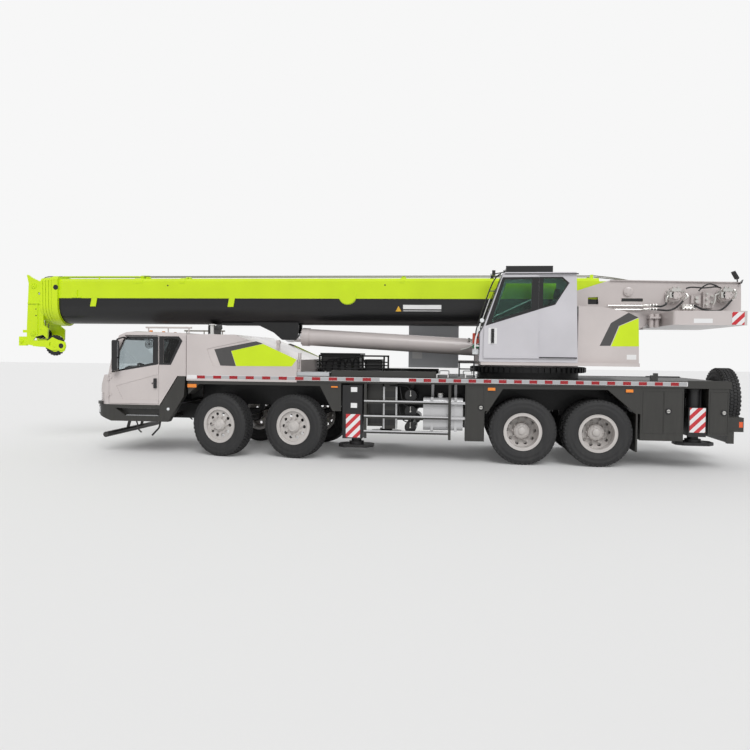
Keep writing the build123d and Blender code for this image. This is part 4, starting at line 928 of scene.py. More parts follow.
def glazeCab():
    thick, inset = cabLook["glassThickness"], cabLook["glassInset"]
    half, proud = cabLook["cabHalf"], cabLook["surroundProud"]
    screen = Shape().prism(strip(screenLine, -inset - thick, -inset), -1.178, 1.178)
    screen.piece("windscreen", "cabGlass", "carrier")
    rim = Shape()
    for low, high in ((-1.150, -1.095), (1.095, 1.150)):
        rim.prism(strip(screenLine, -0.012, proud), low, high)
    for line in ([(4.800, 1.545), (4.779, 1.605), (4.771, 1.640)],
                 [(4.597, 2.250), (4.575, 2.300), (4.560, 2.332)]):
        rim.prism(strip(line, -0.012, proud), -1.150, 1.150)
    rim.piece("windscreenRim", "windowBlack", "carrier", "trim_black")
    quarter, panes = Shape(), Shape()
    quarter.frame(quarterSurround, quarterWindow, half - 0.004, half + proud)
    panes.prism(grown(quarterWindow, 0.004), half - inset - thick, half - inset)
    quarter.bothSides().piece("quarterRims", "windowBlack", "carrier", "trim_black")
    panes.bothSides().piece("quarterGlass", "smokeGlass", "carrier")
    for side, word in ((1, "left"), (-1, "right")):
        body = f"driver_door_{word}"
        rim = Shape().frame(doorSurround, doorWindow, side * (half - 0.004), side * (half + proud))
        rim.rod((4.440, side * (half + 0.008), 2.330), (3.770, side * (half + 0.008), 2.330), 0.006, 8)
        rim.piece(f"doorRim_{word}", "windowBlack", body, "trim_black")
        pane = Shape().prism(grown(doorWindow, 0.004), side * (half - inset - thick), side * (half - inset))
        pane.piece(f"doorGlass_{word}", "cabGlass", body)
        handle = Shape().prism([(3.790, 1.312), (3.790, 1.488), (3.800, 1.496), (3.842, 1.496), (3.852, 1.488),
                                (3.852, 1.312), (3.842, 1.304), (3.800, 1.304)], side * (half - 0.003),
                                side * (half + 0.025))
        handle.rod((3.880, side * half, 1.400), (3.880, side * (half + 0.012), 1.400), 0.013, 20)
        handle.piece(f"doorHandle_{word}", "blackTrim", body, "trim_black", bevel=0.004)
        glass = Shape().box(4.513, 4.521, side * 1.464, side * 1.536, 1.905, 2.195)
        glass.box(4.513, 4.521, side * 1.464, side * 1.536, 1.680, 1.880)
        glass.piece(f"mirrorGlass_{word}", "mirrorSilver", body)


def fitNose():
    # lamps, wipers, steps and trim at the front, and a black strip across the nose as painted shadow
    outline = [(4.9300, 1.2815), (4.9990, 1.2970), (5.0660, 1.208), (5.0890, 1.061), (5.0890, 0.905),
               (5.0825, 0.905), (5.0820, 1.060), (5.0600, 1.203), (4.9960, 1.2880), (4.9310, 1.2740)]
    lens = Shape().prism(outline, 0.806, 0.930, "Z")
    lens.bothSides().piece("headlampLenses", "clearLens", "carrier", bevel=0.003)
    bezel = Shape()
    for low, high in ((0.786, 0.806), (0.930, 0.948)):
        bezel.prism(outline, low, high, "Z")
    bezel.prism([(5.093, 1.010), (5.093, 1.022), (5.080, 1.022), (5.080, 1.010)], 0.806, 0.930, "Z")
    bezel.bothSides().piece("headlampBezels", "blackTrim", "carrier", "trim_black")
    bulbs = Shape()
    for y, radius in ((1.110, 0.040), (0.960, 0.034)):
        bulbs.lathe([(0.0, 5.0895), (radius * 0.8, 5.0915), (radius, 5.0895), (radius, 5.0850)],
                    (0, y, 0.868), "X", 28)
    bulbs.bothSides().piece("lampRings", "mirrorSilver", "carrier")
    turn = Shape().prism([(4.8980, 1.2740), (4.9270, 1.2805), (4.9280, 1.2740), (4.8990, 1.2675)], 0.812,
                         0.924, "Z")
    turn.bothSides().piece("frontIndicators", "amberLens", "carrier")
    badge = Shape().lathe([(0.0, 1.3790), (0.022, 1.3785), (0.030, 1.3740)], (3.560, 0, 0.900), "Y", 20)
    badge.bothSides().piece("archReflectors", "clearLens", "carrier")
    fog = Shape()
    for y in (0.62, 0.74):
        fog.lathe([(0.0, 5.062), (0.042, 5.060), (0.050, 5.052), (0.050, 5.044)], (0, y, 0.868), "X", 28)
    fog.bothSides().piece("fogLamps", "clearLens", "carrier")
    # black strip across the front above the lamps: painted shadow
    dark = Shape().prism([(5.0255, -0.90), (5.0255, 0.90), (5.0185, 0.90), (5.0185, -0.90)], 1.060, 1.206, "Z")
    dark.piece("noseShadow", "blackTrim", "carrier", "trim_black")
    blades = Shape()
    for pivot, tip in ((0.98, 0.12), (0.02, -0.86)):
        blades.lathe([(0.0, 0.028), (0.018, 0.026), (0.022, 0.0)], (4.802, pivot, 1.572), "X", 20)
        blades.pipe([(4.815, pivot, 1.576), (4.806, (pivot + tip) / 2, 1.630), (4.786, tip, 1.680)], 0.008, 8, 5)
        blades.pipe([(4.797, tip + 0.36, 1.632), (4.790, tip, 1.676), (4.779, tip - 0.30, 1.730)], 0.006, 8, 5)
    blades.piece("wipers", "blackTrim", "carrier", "trim_black")
    plate = Shape().box(5.051, 5.056, -0.22, 0.22, 0.890, 0.968)
    plate.piece("blankPlate", "whitePlate", "carrier", bevel=0.001)
    bars = Shape()
    for y in (-0.55, 0.55):
        bars.box(5.049, 5.058, y - 0.012, y + 0.012, 0.660, 0.780)
    bars.rod((5.062, -1.02, 0.730), (5.062, 1.02, 0.730), 0.012, 12)
    bars.piece("frontGrab", "blackTrim", "carrier", "trim_black")
    roof = Shape()
    for y in (-0.62, 0.0, 0.62):
        roof.lathe([(0.0, 2.462), (0.030, 2.455), (0.036, 2.440), (0.036, 2.405)], (4.250, y, 0), "Z", 24)
    roof.piece("roofLamps", "amberLens", "carrier")
    steps = Shape()
    for x0, x1, z in ((3.760, 4.420, 0.764), (3.760, 4.560, 0.905)):
        for side in (1, -1):
            steps.box(x0, x1, side * 1.250, side * 1.372, z - 0.001, z + 0.006)
    for k in range(14):
        for side in (1, -1):
            steps.box(3.780 + k * 0.045, 3.800 + k * 0.045, side * 1.262, side * 1.366, 0.770, 0.774)
    steps.piece("cabSteps", "bareAluminium", "carrier")
    hooks = Shape()
    hooks.pipe([(4.230, 1.320, 0.648), (4.190, 1.325, 0.540), (4.176, 1.330, 0.480), (4.120, 1.335, 0.432)],
               0.015, 10, 5)
    hooks.pipe([(3.746, 1.320, 0.648), (3.748, 1.325, 0.585), (3.770, 1.330, 0.520), (3.860, 1.335, 0.420),
                (3.900, 1.335, 0.376)], 0.018, 10, 5)
    hooks.bothSides().piece("stepHooks", "blackTrim", "carrier", "trim_black")
    sides = Shape()
    for x0, x1, z0, z1 in ((2.975, 3.156, 1.326, 1.406), (0.210, 0.337, 1.368, 1.409),
                           (-2.726, -2.589, 1.361, 1.427), (-5.177, -5.047, 1.370, 1.437)):
        sides.box(x0, x1, 1.396, 1.412, z0 + 0.006, z1 - 0.006)
    sides.bothSides().piece("sideMarkers", "amberLens", "carrier", bevel=0.003)


glazeCab()
fitNose()
print("driver's cab glazed and fitted")

# seats and cab interiors

seatLook = {"corner": 4.5, "cuts": 10, "fill": 0.75}


def cushion(shape, centre, size, tilt=0.0):
    # soft block with a crown on every side, leant about Y
    work = bmesh.new()
    bmesh.ops.create_cube(work, size=2.0)
    bmesh.ops.subdivide_edges(work, edges=work.edges[:], cuts=seatLook["cuts"], use_grid_fill=True)
    power = seatLook["corner"]
    for vert in work.verts:
        length = sum(abs(part) ** power for part in vert.co) ** (1 / power)
        vert.co = Vector([part / length * reach / 2 for part, reach in zip(vert.co, size)])
    mesh = bpy.data.meshes.new("cushion")
    work.to_mesh(mesh)
    work.free()
    shape.take(mesh, Matrix.Translation(centre) @ Matrix.Rotation(math.radians(tilt), 4, "Y"))
    bpy.data.meshes.remove(mesh)


def seatPads(x, y, z, width):
    # padded parts of one seat; x is the middle of the cushion and z its top
    pads = Shape()
    cushion(pads, (x, y, z - 0.065), (0.50, width * 0.62, 0.15))
    for side in (1, -1):
        cushion(pads, (x - 0.01, y + side * width * 0.38, z - 0.050), (0.48, width * 0.24, 0.17))
        cushion(pads, (x - 0.268, y + side * width * 0.38, z + 0.300), (0.15, width * 0.24, 0.54), -11)
    cushion(pads, (x - 0.285, y, z + 0.300), (0.13, width * 0.62, 0.60), -11)
    cushion(pads, (x - 0.360, y, z + 0.680), (0.10, width * 0.52, 0.19), -8)
    return pads


def seatBase(shape, x, y, floor, z, width):
    shape.box(x - 0.20, x + 0.20, y - width * 0.36, y + width * 0.36, floor, floor + 0.05)
    for k in range(5):
        low = floor + 0.05 + k * (z - 0.20 - floor) / 5
        inset = 0.02 if k % 2 else 0.0
        shape.box(x - 0.17 + inset, x + 0.17 - inset, y - width * 0.30 + inset, y + width * 0.30 - inset, low,
                  low + (z - 0.20 - floor) / 5)
    shape.box(x - 0.24, x + 0.24, y - width * 0.42, y + width * 0.42, z - 0.155, z - 0.125)
    for across in (y - 0.05, y + 0.05):
        shape.rod((x - 0.335, across, z + 0.52), (x - 0.345, across, z + 0.64), 0.008, 8)


def torus(shape, centre, turn, major, minor, steps=48, sides=12):
    profile = [(major + minor * math.cos(a), minor * math.sin(a)) for a in anglesOf(sides)]
    ring = Shape().lathe(profile, axis="Z", steps=steps, closed=True).mesh("ring")
    shape.take(ring, Matrix.Translation(centre) @ turn)
    bpy.data.meshes.remove(ring)


def fitDriverInterior():
    for y, word in ((0.75, "left"), (-0.75, "right")):
        pads = seatPads(3.960, y, 1.480, 0.50).piece(f"cabSeat_{word}", "seatCloth", "carrier",
                                                     "trim_black", sharp=80)
    trim = Shape()
    for y in (0.75, -0.75):
        seatBase(trim, 3.960, y, 1.022, 1.480, 0.50)
    trim.prism([(4.560, 1.240), (4.690, 1.240), (4.745, 1.500), (4.700, 1.545), (4.560, 1.560), (4.470, 1.500),
                (4.455, 1.440)],
               -1.180, 1.180)
    trim.prism([(4.390, 1.500), (4.400, 1.660), (4.430, 1.715), (4.520, 1.730), (4.600, 1.690), (4.640, 1.560),
                (4.600, 1.480)],
               0.480, 1.060)
    trim.prism([(4.480, 1.500), (4.490, 1.630), (4.560, 1.650), (4.640, 1.600), (4.660, 1.520)], -0.900, 0.300)
    trim.prism([(3.500, 1.022), (3.500, 1.300), (3.620, 1.360), (4.300, 1.360), (4.420, 1.480), (4.520, 1.480),
                (4.560, 1.022)],
               -0.330, 0.330)
    trim.box(3.260, 4.700, -1.300, 1.300, 1.022, 1.034)
    trim.prism([(3.250, 1.560), (3.250, 1.900), (3.270, 1.900), (3.330, 1.560)], -1.290, 1.290)
    tilt = Matrix.Rotation(math.radians(-40), 4, "Y")
    torus(trim, (4.270, 0.750, 1.620), tilt, 0.225, 0.018)
    spokes = Shape().box(-0.215, 0.215, -0.020, 0.020, -0.012, 0.010)
    spokes.box(-0.015, 0.015, -0.215, 0.215, -0.012, 0.010)
    spokes.lathe([(0.0, 0.022), (0.055, 0.018), (0.065, -0.010), (0.040, -0.120), (0.0, -0.120)],
                 axis="Z", steps=28)
    rim = spokes.mesh("spokes")
    trim.take(rim, Matrix.Translation((4.270, 0.750, 1.620)) @ tilt)
    bpy.data.meshes.remove(rim)
    trim.rod((4.310, 0.750, 1.560), (4.470, 0.750, 1.180), 0.036, 16)
    trim.rod((4.250, 0.180, 1.340), (4.180, 0.200, 1.620), 0.012, 12)
    trim.lathe([(0.0, 0.045), (0.024, 0.035), (0.030, 0.0), (0.018, -0.030), (0.0, -0.034)],
               (4.178, 0.201, 1.640), "Z", 20)
    for y in (0.62, 0.78, 0.94):
        trim.prism([(4.430, 1.100), (4.500, 1.220), (4.515, 1.212), (4.445, 1.092)], y - 0.035, y + 0.035)
    for radius in (0.080, 0.052, 0.024):
        torus(trim, (4.035, 1.180, 2.164), alongY, radius, 0.007, 32, 8)
    for k in range(4):
        turn = math.pi * k / 4
        dx, dz = 0.080 * math.cos(turn), 0.080 * math.sin(turn)
        trim.rod((4.035 - dx, 1.180, 2.164 - dz), (4.035 + dx, 1.180, 2.164 + dz), 0.005, 6)
    trim.rod((4.035, 1.180, 2.240), (4.035, 1.180, 2.366), 0.010, 10)
    trim = trim.piece("driverCabTrim", "cabTrim", "carrier", "trim_black", bevel=0.006)
    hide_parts("driver_cab_interior")


def fitOperatorInterior():
    pads = seatPads(-3.500, 0.985, 2.500, 0.48).piece("operatorSeat", "seatCloth", "superstructure",
                                                      "trim_black", sharp=80)
    trim = Shape()
    seatBase(trim, -3.500, 0.985, 1.942, 2.500, 0.48)
    for y in (0.685, 1.255):
        trim.prism([(-3.700, 2.520), (-3.720, 2.600), (-3.240, 2.660), (-3.150, 2.640), (-3.150, 2.560),
                    (-3.260, 2.480)],
                   y - 0.055, y + 0.055)
        trim.box(-3.560, -3.380, y - 0.040, y + 0.040, 1.942, 2.500)
        trim.rod((-3.230, y, 2.640), (-3.215, y, 2.740), 0.010, 10)
        trim.lathe([(0.0, 0.055), (0.026, 0.045), (0.030, 0.010), (0.020, -0.040), (0.0, -0.045)],
                   (-3.212, y, 2.760), "Z", 18)
    trim.prism([(-2.520, 1.942), (-2.520, 2.330), (-2.600, 2.420), (-2.680, 2.400), (-2.640, 1.942)],
               0.680, 1.260)
    trim.prism([(-2.700, 2.430), (-2.690, 2.640), (-2.670, 2.640), (-2.680, 2.430)], 0.700, 0.960)
    trim.rod((-2.640, 0.830, 2.380), (-2.690, 0.830, 2.520), 0.014, 10)
    trim.box(-4.150, -2.470, 0.605, 1.335, 1.940, 1.950)
    for y in (0.86, 1.08):
        trim.prism([(-2.690, 1.960), (-2.800, 2.060), (-2.790, 2.075), (-2.675, 1.975)], y - 0.045, y + 0.045)
    trim.box(-3.980, -3.960, 0.640, 1.300, 2.000, 2.620)
    trim = trim.piece("operatorCabTrim", "cabTrim", "superstructure", "trim_black", bevel=0.005)
    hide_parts("crane_cab_interior")
    bar = Shape().pipe([(-2.660, 1.338, 2.690), (-2.674, 1.325, 2.723), (-3.367, 1.325, 3.052),
                        (-3.390, 1.338, 3.030)], 0.011, 10, 4)
    bar.piece("innerRail", "silverPaint", "superstructure")


fitDriverInterior()
fitOperatorInterior()
print("seats and cab interiors fitted")

# crane cab

craneCabLook = {"left": 1.380, "right": 0.560, "doorFace": 1.412, "glass": 0.006, "inset": 0.014}
craneScreen = [(-2.427, 2.085), (-2.434, 2.429), (-2.505, 2.578), (-2.818, 3.475)]
craneDoorGlass = [(-2.640, 2.640), (-2.870, 3.400), (-3.350, 3.415), (-3.350, 2.880)]
craneDoorRim = [(-2.530, 2.560), (-2.826, 3.446), (-3.479, 3.452), (-3.479, 2.861)]
craneRearGlass = [(-3.560, 2.914), (-3.560, 3.425), (-3.882, 3.425), (-3.991, 3.334), (-3.783, 2.988)]
craneRearRim = [(-3.470, 2.862), (-3.470, 3.456), (-3.898, 3.456), (-4.024, 3.346), (-3.778, 2.952)]
craneRightGlass = [(-2.700, 2.700), (-2.950, 3.420), (-3.900, 3.420), (-3.900, 2.900)]


def glazeCraneCab():
    left, right = craneCabLook["left"], craneCabLook["right"]
    thick, inset, face = craneCabLook["glass"], craneCabLook["inset"], craneCabLook["doorFace"]
    glass = Shape().prism(strip(craneScreen, -inset - thick, -inset), right + 0.058, left - 0.058)
    glass.prism(grown(craneRearGlass, 0.004), left - inset - thick, left - inset)
    glass.prism(grown(craneRightGlass, 0.004), right + inset, right + inset + thick)
    glass.box(-3.565, -2.975, right + 0.138, left - 0.138, 3.514, 3.520)
    glass.prism([(-4.156, 2.695), (-4.162, 2.695), (-4.142, 3.405), (-4.136, 3.405)], right + 0.118, left - 0.118)
    glass.piece("craneCabGlass", "greenGlass", "superstructure")
    pane = Shape().prism(grown(craneDoorGlass, 0.004), face - inset - thick, face - inset)
    pane.piece("craneDoorGlass", "greenGlass", "crane_cab_door")
    door = Shape().frame(craneDoorRim, craneDoorGlass, face - 0.003, face + 0.003)
    door.box(-2.684, -2.636, face - 0.001, face + 0.031, 2.246, 2.504)
    door.piece("craneDoorRim", "windowBlack", "crane_cab_door", "trim_black")
    recess = Shape().frame([(-2.582, 2.228), (-2.582, 2.522), (-2.738, 2.522), (-2.738, 2.228)],
                           [(-2.632, 2.244), (-2.632, 2.506), (-2.688, 2.506), (-2.688, 2.244)], face - 0.002,
                           face + 0.006)
    recess.piece("craneDoorRecess", "whitePlate", "crane_cab_door", bevel=0.003)
    rims = Shape().frame(craneRearRim, craneRearGlass, left - 0.004, left + 0.003)
    for low, high in ((left - 0.062, left - 0.004), (right + 0.004, right + 0.062)):
        rims.prism([(-2.4205, 2.040), (-2.4275, 2.432), (-2.4985, 2.580), (-2.8265, 3.520),
                    (-2.840, 3.520), (-2.512, 2.575), (-2.440, 2.426), (-2.432, 2.040)], low, high)
    rims.box(-4.176, -2.868, left + 0.0335, left + 0.0365, 3.501, 3.517)
    rims.box(-4.176, -3.500, left + 0.0335, left + 0.0365, 1.975, 1.996)
    rims.piece("craneCabRims", "windowBlack", "superstructure", "trim_black")


def fitCraneCab():
    trim = Shape()
    trim.pipe([(-2.400, 1.345, 2.330), (-2.372, 1.345, 2.380), (-2.372, 1.345, 2.520), (-2.580, 1.345, 3.180),
               (-2.700, 1.345, 3.440), (-2.800, 1.340, 3.520)], 0.012, 10, 5)
    for start, end in (((-2.390, 1.345, 2.560), (-2.510, 1.345, 2.600)),
                       ((-2.590, 1.345, 3.200), (-2.720, 1.345, 3.200))):
        trim.rod(start, end, 0.008, 8)
    trim.pipe([(-2.470, 0.960, 2.470), (-2.462, 0.970, 2.560), (-2.620, 1.020, 3.000)], 0.009, 8, 4)
    trim.pipe([(-2.520, 1.060, 2.660), (-2.610, 1.010, 2.990), (-2.720, 0.980, 3.270)], 0.007, 8, 3)
    trim.lathe([(0.0, 0.040), (0.026, 0.036), (0.032, 0.0)], (-2.440, 0.960, 2.450), "X", 20)
    for y in (0.70, 1.24):
        trim.box(-2.700, -2.640, y - 0.045, y + 0.045, 3.500, 3.590)
        trim.rod((-2.700, y, 3.530), (-2.860, y, 3.560), 0.010, 8)
    for k in range(3):
        trim.box(-2.425, -2.300, 1.155, 1.165, 2.030 + k * 0.160, 2.040 + k * 0.160)
    trim.piece("craneCabTrim", "blackTrim", "superstructure", "trim_black")
    lens = Shape()
    for y in (0.70, 1.24):
        lens.box(-2.640, -2.634, y - 0.040, y + 0.040, 3.505, 3.585)
    lens.lathe([(0.0, 1.408), (0.034, 1.404), (0.042, 1.392), (0.042, 1.378)], (-2.464, 0, 2.657), "Y", 28)
    lens.piece("craneCabLamps", "clearLens", "superstructure")
    pale = Shape().pipe([(-2.345, 1.345, 2.120), (-2.352, 1.345, 2.300), (-2.400, 1.345, 2.480),
                         (-2.440, 1.345, 2.610)], 0.016, 12, 5)
    pale.box(-2.425, -2.345, 1.335, 1.355, 2.180, 2.200)
    pale.rod((-2.450, 1.345, 2.610), (-2.600, 1.345, 3.060), 0.007, 8)
    pale.piece("craneCabGrab", "whitePlate", "superstructure")
    for name, material, low, high in (("towerLampRed", "redPlastic", 2.232, 2.428),
                                      ("towerLampGreen", "greenPlastic", 2.146, 2.207),
                                      ("towerLampWhite", "clearLens", 2.030, 2.132)):
        lamp = Shape().box(-2.418, -2.300, 1.170, 1.290, low, high)
        lamp.piece(name, material, "superstructure", bevel=0.008)
    ladder = Shape()
    for x in (-2.330, -2.060):
        ladder.rod((x, 1.380, 1.620), (x, 1.380, 1.900), 0.014, 10)
    for z in (1.760, 1.890):
        ladder.rod((-2.330, 1.380, z), (-2.060, 1.380, z), 0.012, 10)
    ladder.box(-2.420, -2.050, 1.050, 1.395, 1.880, 1.899)
    ladder.piece("platformStep", "blackTrim", "superstructure")


glazeCraneCab()
fitCraneCab()
print("crane cab glazed and fitted")

# stripes, decals and plates

stripeLook = {
    "low": 1.500,
    "high": 1.575,
    "front": 3.170,
    "rear": -6.115,
    "tall": 0.062,
    # middle of the first red dash, distance to the next, length of a dash, number
    "runs": ((2.888, 0.3229, 0.160, 11), (-1.200, 0.2760, 0.140, 18)),
}
hoodFace, housingFace, boomSide = 1.388, 1.250, 0.380
hoodDark = [(2.627, 2.074), (2.507, 1.763), (2.199, 1.757), (2.296, 2.047), (1.664, 2.190), (1.800, 2.236)]
hoodGreen = [(2.290, 2.046), (2.193, 1.757), (1.106, 1.765), (1.010, 1.895), (1.664, 2.187)]
housingDark = [(-4.603, 2.213), (-4.793, 2.215), (-4.935, 2.577), (-5.277, 2.733), (-5.102, 2.820),
               (-4.795, 2.630)]
housingGreen = [(-4.804, 2.204), (-4.947, 2.573), (-5.281, 2.722), (-5.297, 2.209)]


def layStripes():
    low, high = stripeLook["low"], stripeLook["high"]
    white = Shape().box(stripeLook["rear"], stripeLook["front"], 1.3995, 1.4020, low, high)
    white.bothSides().piece("deckBand", "whiteBand", "carrier")
    middle = (low + high) / 2
    for name, material, shift in (("redDashes", "redBand", 0.0), ("greyDashes", "greyBand", -0.5)):
        row = Shape()
        for first, pitch, dash, count in stripeLook["runs"]:
            for side in (1, -1):
                dashes = grow(blockRow, material, Count=count, Step=(-pitch, 0, 0),
                              Size=(dash, 0.003, stripeLook["tall"]))
                row.take(dashes, Matrix.Translation((first + shift * pitch, side * 1.4025, middle)))
        row.piece(name, material, "carrier")


def layDecals():
    for name, outline, face, finish, body in (
        ("hoodDarkDecal", hoodDark, hoodFace, "darkDecal", "carrier"),
        ("hoodGreenDecal", hoodGreen, hoodFace, "limePaint", "carrier"),
        ("housingDarkDecal", housingDark, housingFace, "darkDecal", "superstructure"),
        ("housingGreenDecal", housingGreen, housingFace, "limePaint", "superstructure"),
    ):
        Shape().prism(outline, face - 0.0005, face + 0.0015).bothSides().piece(name, finish, body)
    label = Shape().prism([(-5.086, 2.056), (-5.255, 2.056), (-5.255, 1.967), (-5.086, 1.967)],
                          housingFace - 0.0005, housingFace + 0.0012)
    label.prism([(-6.239, 2.719), (-6.563, 2.719), (-6.563, 2.640), (-6.239, 2.640)], 1.2495, 1.2512)
    label.bothSides().piece("upperLabels", "whitePlate", "superstructure")
    tabs = Shape()
    for middle in (5.640, 2.642):
        tabs.prism([(middle - 0.062, 2.957), (middle + 0.062, 2.957), (middle + 0.030, 3.131),
                    (middle - 0.094, 3.131)], 0.3795, 0.4010)
    tabs.bothSides().piece("boomTabs", "limePaint", "boom_base", "boom_green", bevel=0.003)
    sheet = Shape().box(-1.290, -1.080, -0.4595, -0.4575, 1.930, 2.190)
    sheet.piece("cabinetSheet", "whitePlate", "superstructure")
    sign = Shape().prism([(-0.783, 2.878), (-0.900, 2.878), (-0.838, 2.990)], boomSide - 0.001, boomSide + 0.0015)
    sign.bothSides().piece("boomTriangle", "yellowPlastic", "boom_base")
    strips = Shape()
    for low, high in ((2.925, 3.010), (2.885, 2.897)):
        strips.box(-1.697, -0.931, boomSide - 0.001, boomSide + 0.0015, low, high)
    strips.bothSides().piece("boomStrips", "whitePlate", "boom_base")
    dots = Shape()
    for x, z in ((3.997, 3.400), (-0.562, 3.407)):
        dots.lathe([(0.0, boomSide + 0.003), (0.014, boomSide + 0.003), (0.017, boomSide - 0.001)],
                   (x, 0, z), "Y", 16)
    dots.lathe([(0.0, 0.4315), (0.050, 0.4315), (0.056, 0.4305)], (6.455, 0, 3.358), "Y", 32)
    dots.bothSides().piece("boomDots", "blackTrim", "boom_base", "trim_black")


def stripedPlate(name, body, x0, x1, z0, z1, face, side):
    low, high = side * (face - 0.001), side * (face + 0.003)
    Shape().box(x0, x1, low, high, z0, z1).piece(name, "warnPlate", body)


def layWarnings():
    # front, rear, low and high edge of the plate of each outrigger
    plates = {"front_left": (0.049, -0.222, 0.441, 0.880), "front_right": (-0.291, -0.562, 0.441, 0.880),
              "rear_left": (-6.162, -6.430, 0.678, 1.118), "rear_right": (-5.822, -6.090, 0.678, 1.118)}
    for corner, (x0, x1, z0, z1) in plates.items():
        side = 1 if corner.endswith("left") else -1
        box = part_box(f"outrigger_inner_{corner}")
        face = box[1][1] if side > 0 else -box[0][1]
        stripedPlate(f"warnPlate_{corner}", f"inner_beam_{corner}", x0, x1, z0, z1, face, side)
        if corner.startswith("front"):
            labels = Shape()
            for down in (0.06, 0.36):
                top = box[1][2] - down
                labels.box(x0 - 0.21, x0 - 0.09, side * (face - 0.001), side * (face + 0.0015), top - 0.090, top)
            labels.piece(f"jackLabels_{corner}", "whitePlate", f"inner_beam_{corner}")
    for side, word in ((1, "left"), (-1, "right")):
        stripedPlate(f"warnPlate_tail_{word}", "superstructure", -6.894, -7.105, 2.612, 2.840, 1.250, side)
    rear = Shape()
    for side in (1, -1):
        rear.box(-7.1735, -7.1695, side * 0.900, side * 1.180, 2.612, 2.840)
    rear.piece("warnPlate_tailRear", "warnPlate", "superstructure")


layStripes()
layDecals()
layWarnings()
print("stripes, decals and plates laid")

# deck, side guards, tanks and tail

deckLook = {"plateTop": 1.655, "skin": 0.003, "edge": 1.585, "rows": 8, "rowStep": 0.045, "bars": 14,
            "barStep": 0.042}
# points of each air line on the left, X, Y and Z
airRoutes = (
    ((-1.160, 1.280, 1.340), (-1.080, 1.285, 1.420), (-0.960, 1.285, 1.430), (-0.760, 1.280, 1.420)),
    ((-1.160, 1.280, 1.040), (-1.060, 1.290, 1.060), (-1.000, 1.290, 1.160), (-0.960, 1.285, 1.400)),
    ((-1.160, 1.280, 0.740), (-1.050, 1.290, 0.760), (-0.980, 1.290, 0.860), (-0.930, 1.280, 1.100)),
)


def fitDeck():
    chequer, top, skin = Shape(), deckLook["plateTop"], deckLook["skin"]
    for side in (1, -1):
        chequer.box(0.385, 1.003, side * 1.000, side * 1.371, top, top + skin)
        chequer.box(0.385, 1.003, side * 1.3695, side * 1.3725, deckLook["edge"], top + skin)
        for row in range(deckLook["rows"]):
            y = side * (1.025 + row * deckLook["rowStep"])
            bars = grow(blockRow, "bareAluminium", Count=deckLook["bars"], Step=(deckLook["barStep"], 0, 0),
                        Size=(0.026, 0.007, 0.003))
            chequer.take(bars, Matrix.Translation((0.415, y, top + 0.004)))
    chequer.piece("deckStep", "bareAluminium", "carrier")
    loops = Shape()
    for front, rear in ((-1.651, -1.856), (-2.177, -2.367)):
        loops.pipe([(front, 1.380, 1.585), (front, 1.380, 1.640), (front - 0.02, 1.380, 1.656),
                    (rear + 0.02, 1.380, 1.656),
                    (rear, 1.380, 1.640), (rear, 1.380, 1.585)], 0.010, 10, 3)
    loops.bothSides().piece("deckHandles", "whitePlate", "carrier")
    guards = Shape()
    for front, side in ((-0.292, 1), (-0.632, -1)):
        for z in (1.120, 0.838, 0.555):
            guards.box(front, -1.868, side * 1.3995, side * 1.4025, z + 0.004, z + 0.030)
    for side in (1, -1):
        for z in (1.120, 0.838):
            guards.box(-1.918, -2.183, side * 1.3695, side * 1.3725, z - 0.022, z + 0.022)
            guards.box(-1.918, -2.183, side * 1.3240, side * 1.3725, z + 0.0255, z + 0.0280)
    for x in (-0.652, -0.889):
        guards.box(x - 0.016, x + 0.016, 1.2310, 1.2440, 0.600, 1.400)
        guards.box(x - 0.016, x + 0.016, -1.2440, -1.2310, 0.600, 1.400)
    guards.piece("guardTrim", "silverPaint", "carrier", "tank_silver")
    boxes = Shape()
    for z in (0.72, 0.90, 1.08, 1.26):
        boxes.box(-0.875, -0.668, 1.2295, 1.2345, z - 0.055, z + 0.055)
    boxes.box(-0.600, -0.360, 1.1795, 1.1845, 0.700, 1.100)
    boxes.bothSides().piece("batteryLids", "blackTrim", "carrier", "trim_black", bevel=0.004)
    caps = Shape()
    for side in (1, -1):
        caps.lathe([(0.0, 1.298), (0.040, 1.296), (0.060, 1.288), (0.062, 1.262), (0.056, 1.258)],
                   (-1.719, side * 1.120, 0), "Z", 32)
        for z in (0.640, 0.940, 1.240):
            out = side * 1.250
            caps.rod((-1.160, out, z), (-1.160, out + side * 0.040, z), 0.014, 10)
            caps.rod((-1.160, out + side * 0.030, z), (-1.160, out + side * 0.030, z + 0.10), 0.007, 8)
    caps.piece("tankCaps", "zincFitting", "carrier")
    lines = Shape()
    for side in (1, -1):
        for route in airRoutes:
            lines.pipe([(x, side * y, z) for x, y, z in route], 0.010, 8, 5)
    lines.piece("airLines", "hoseRubber", "carrier")


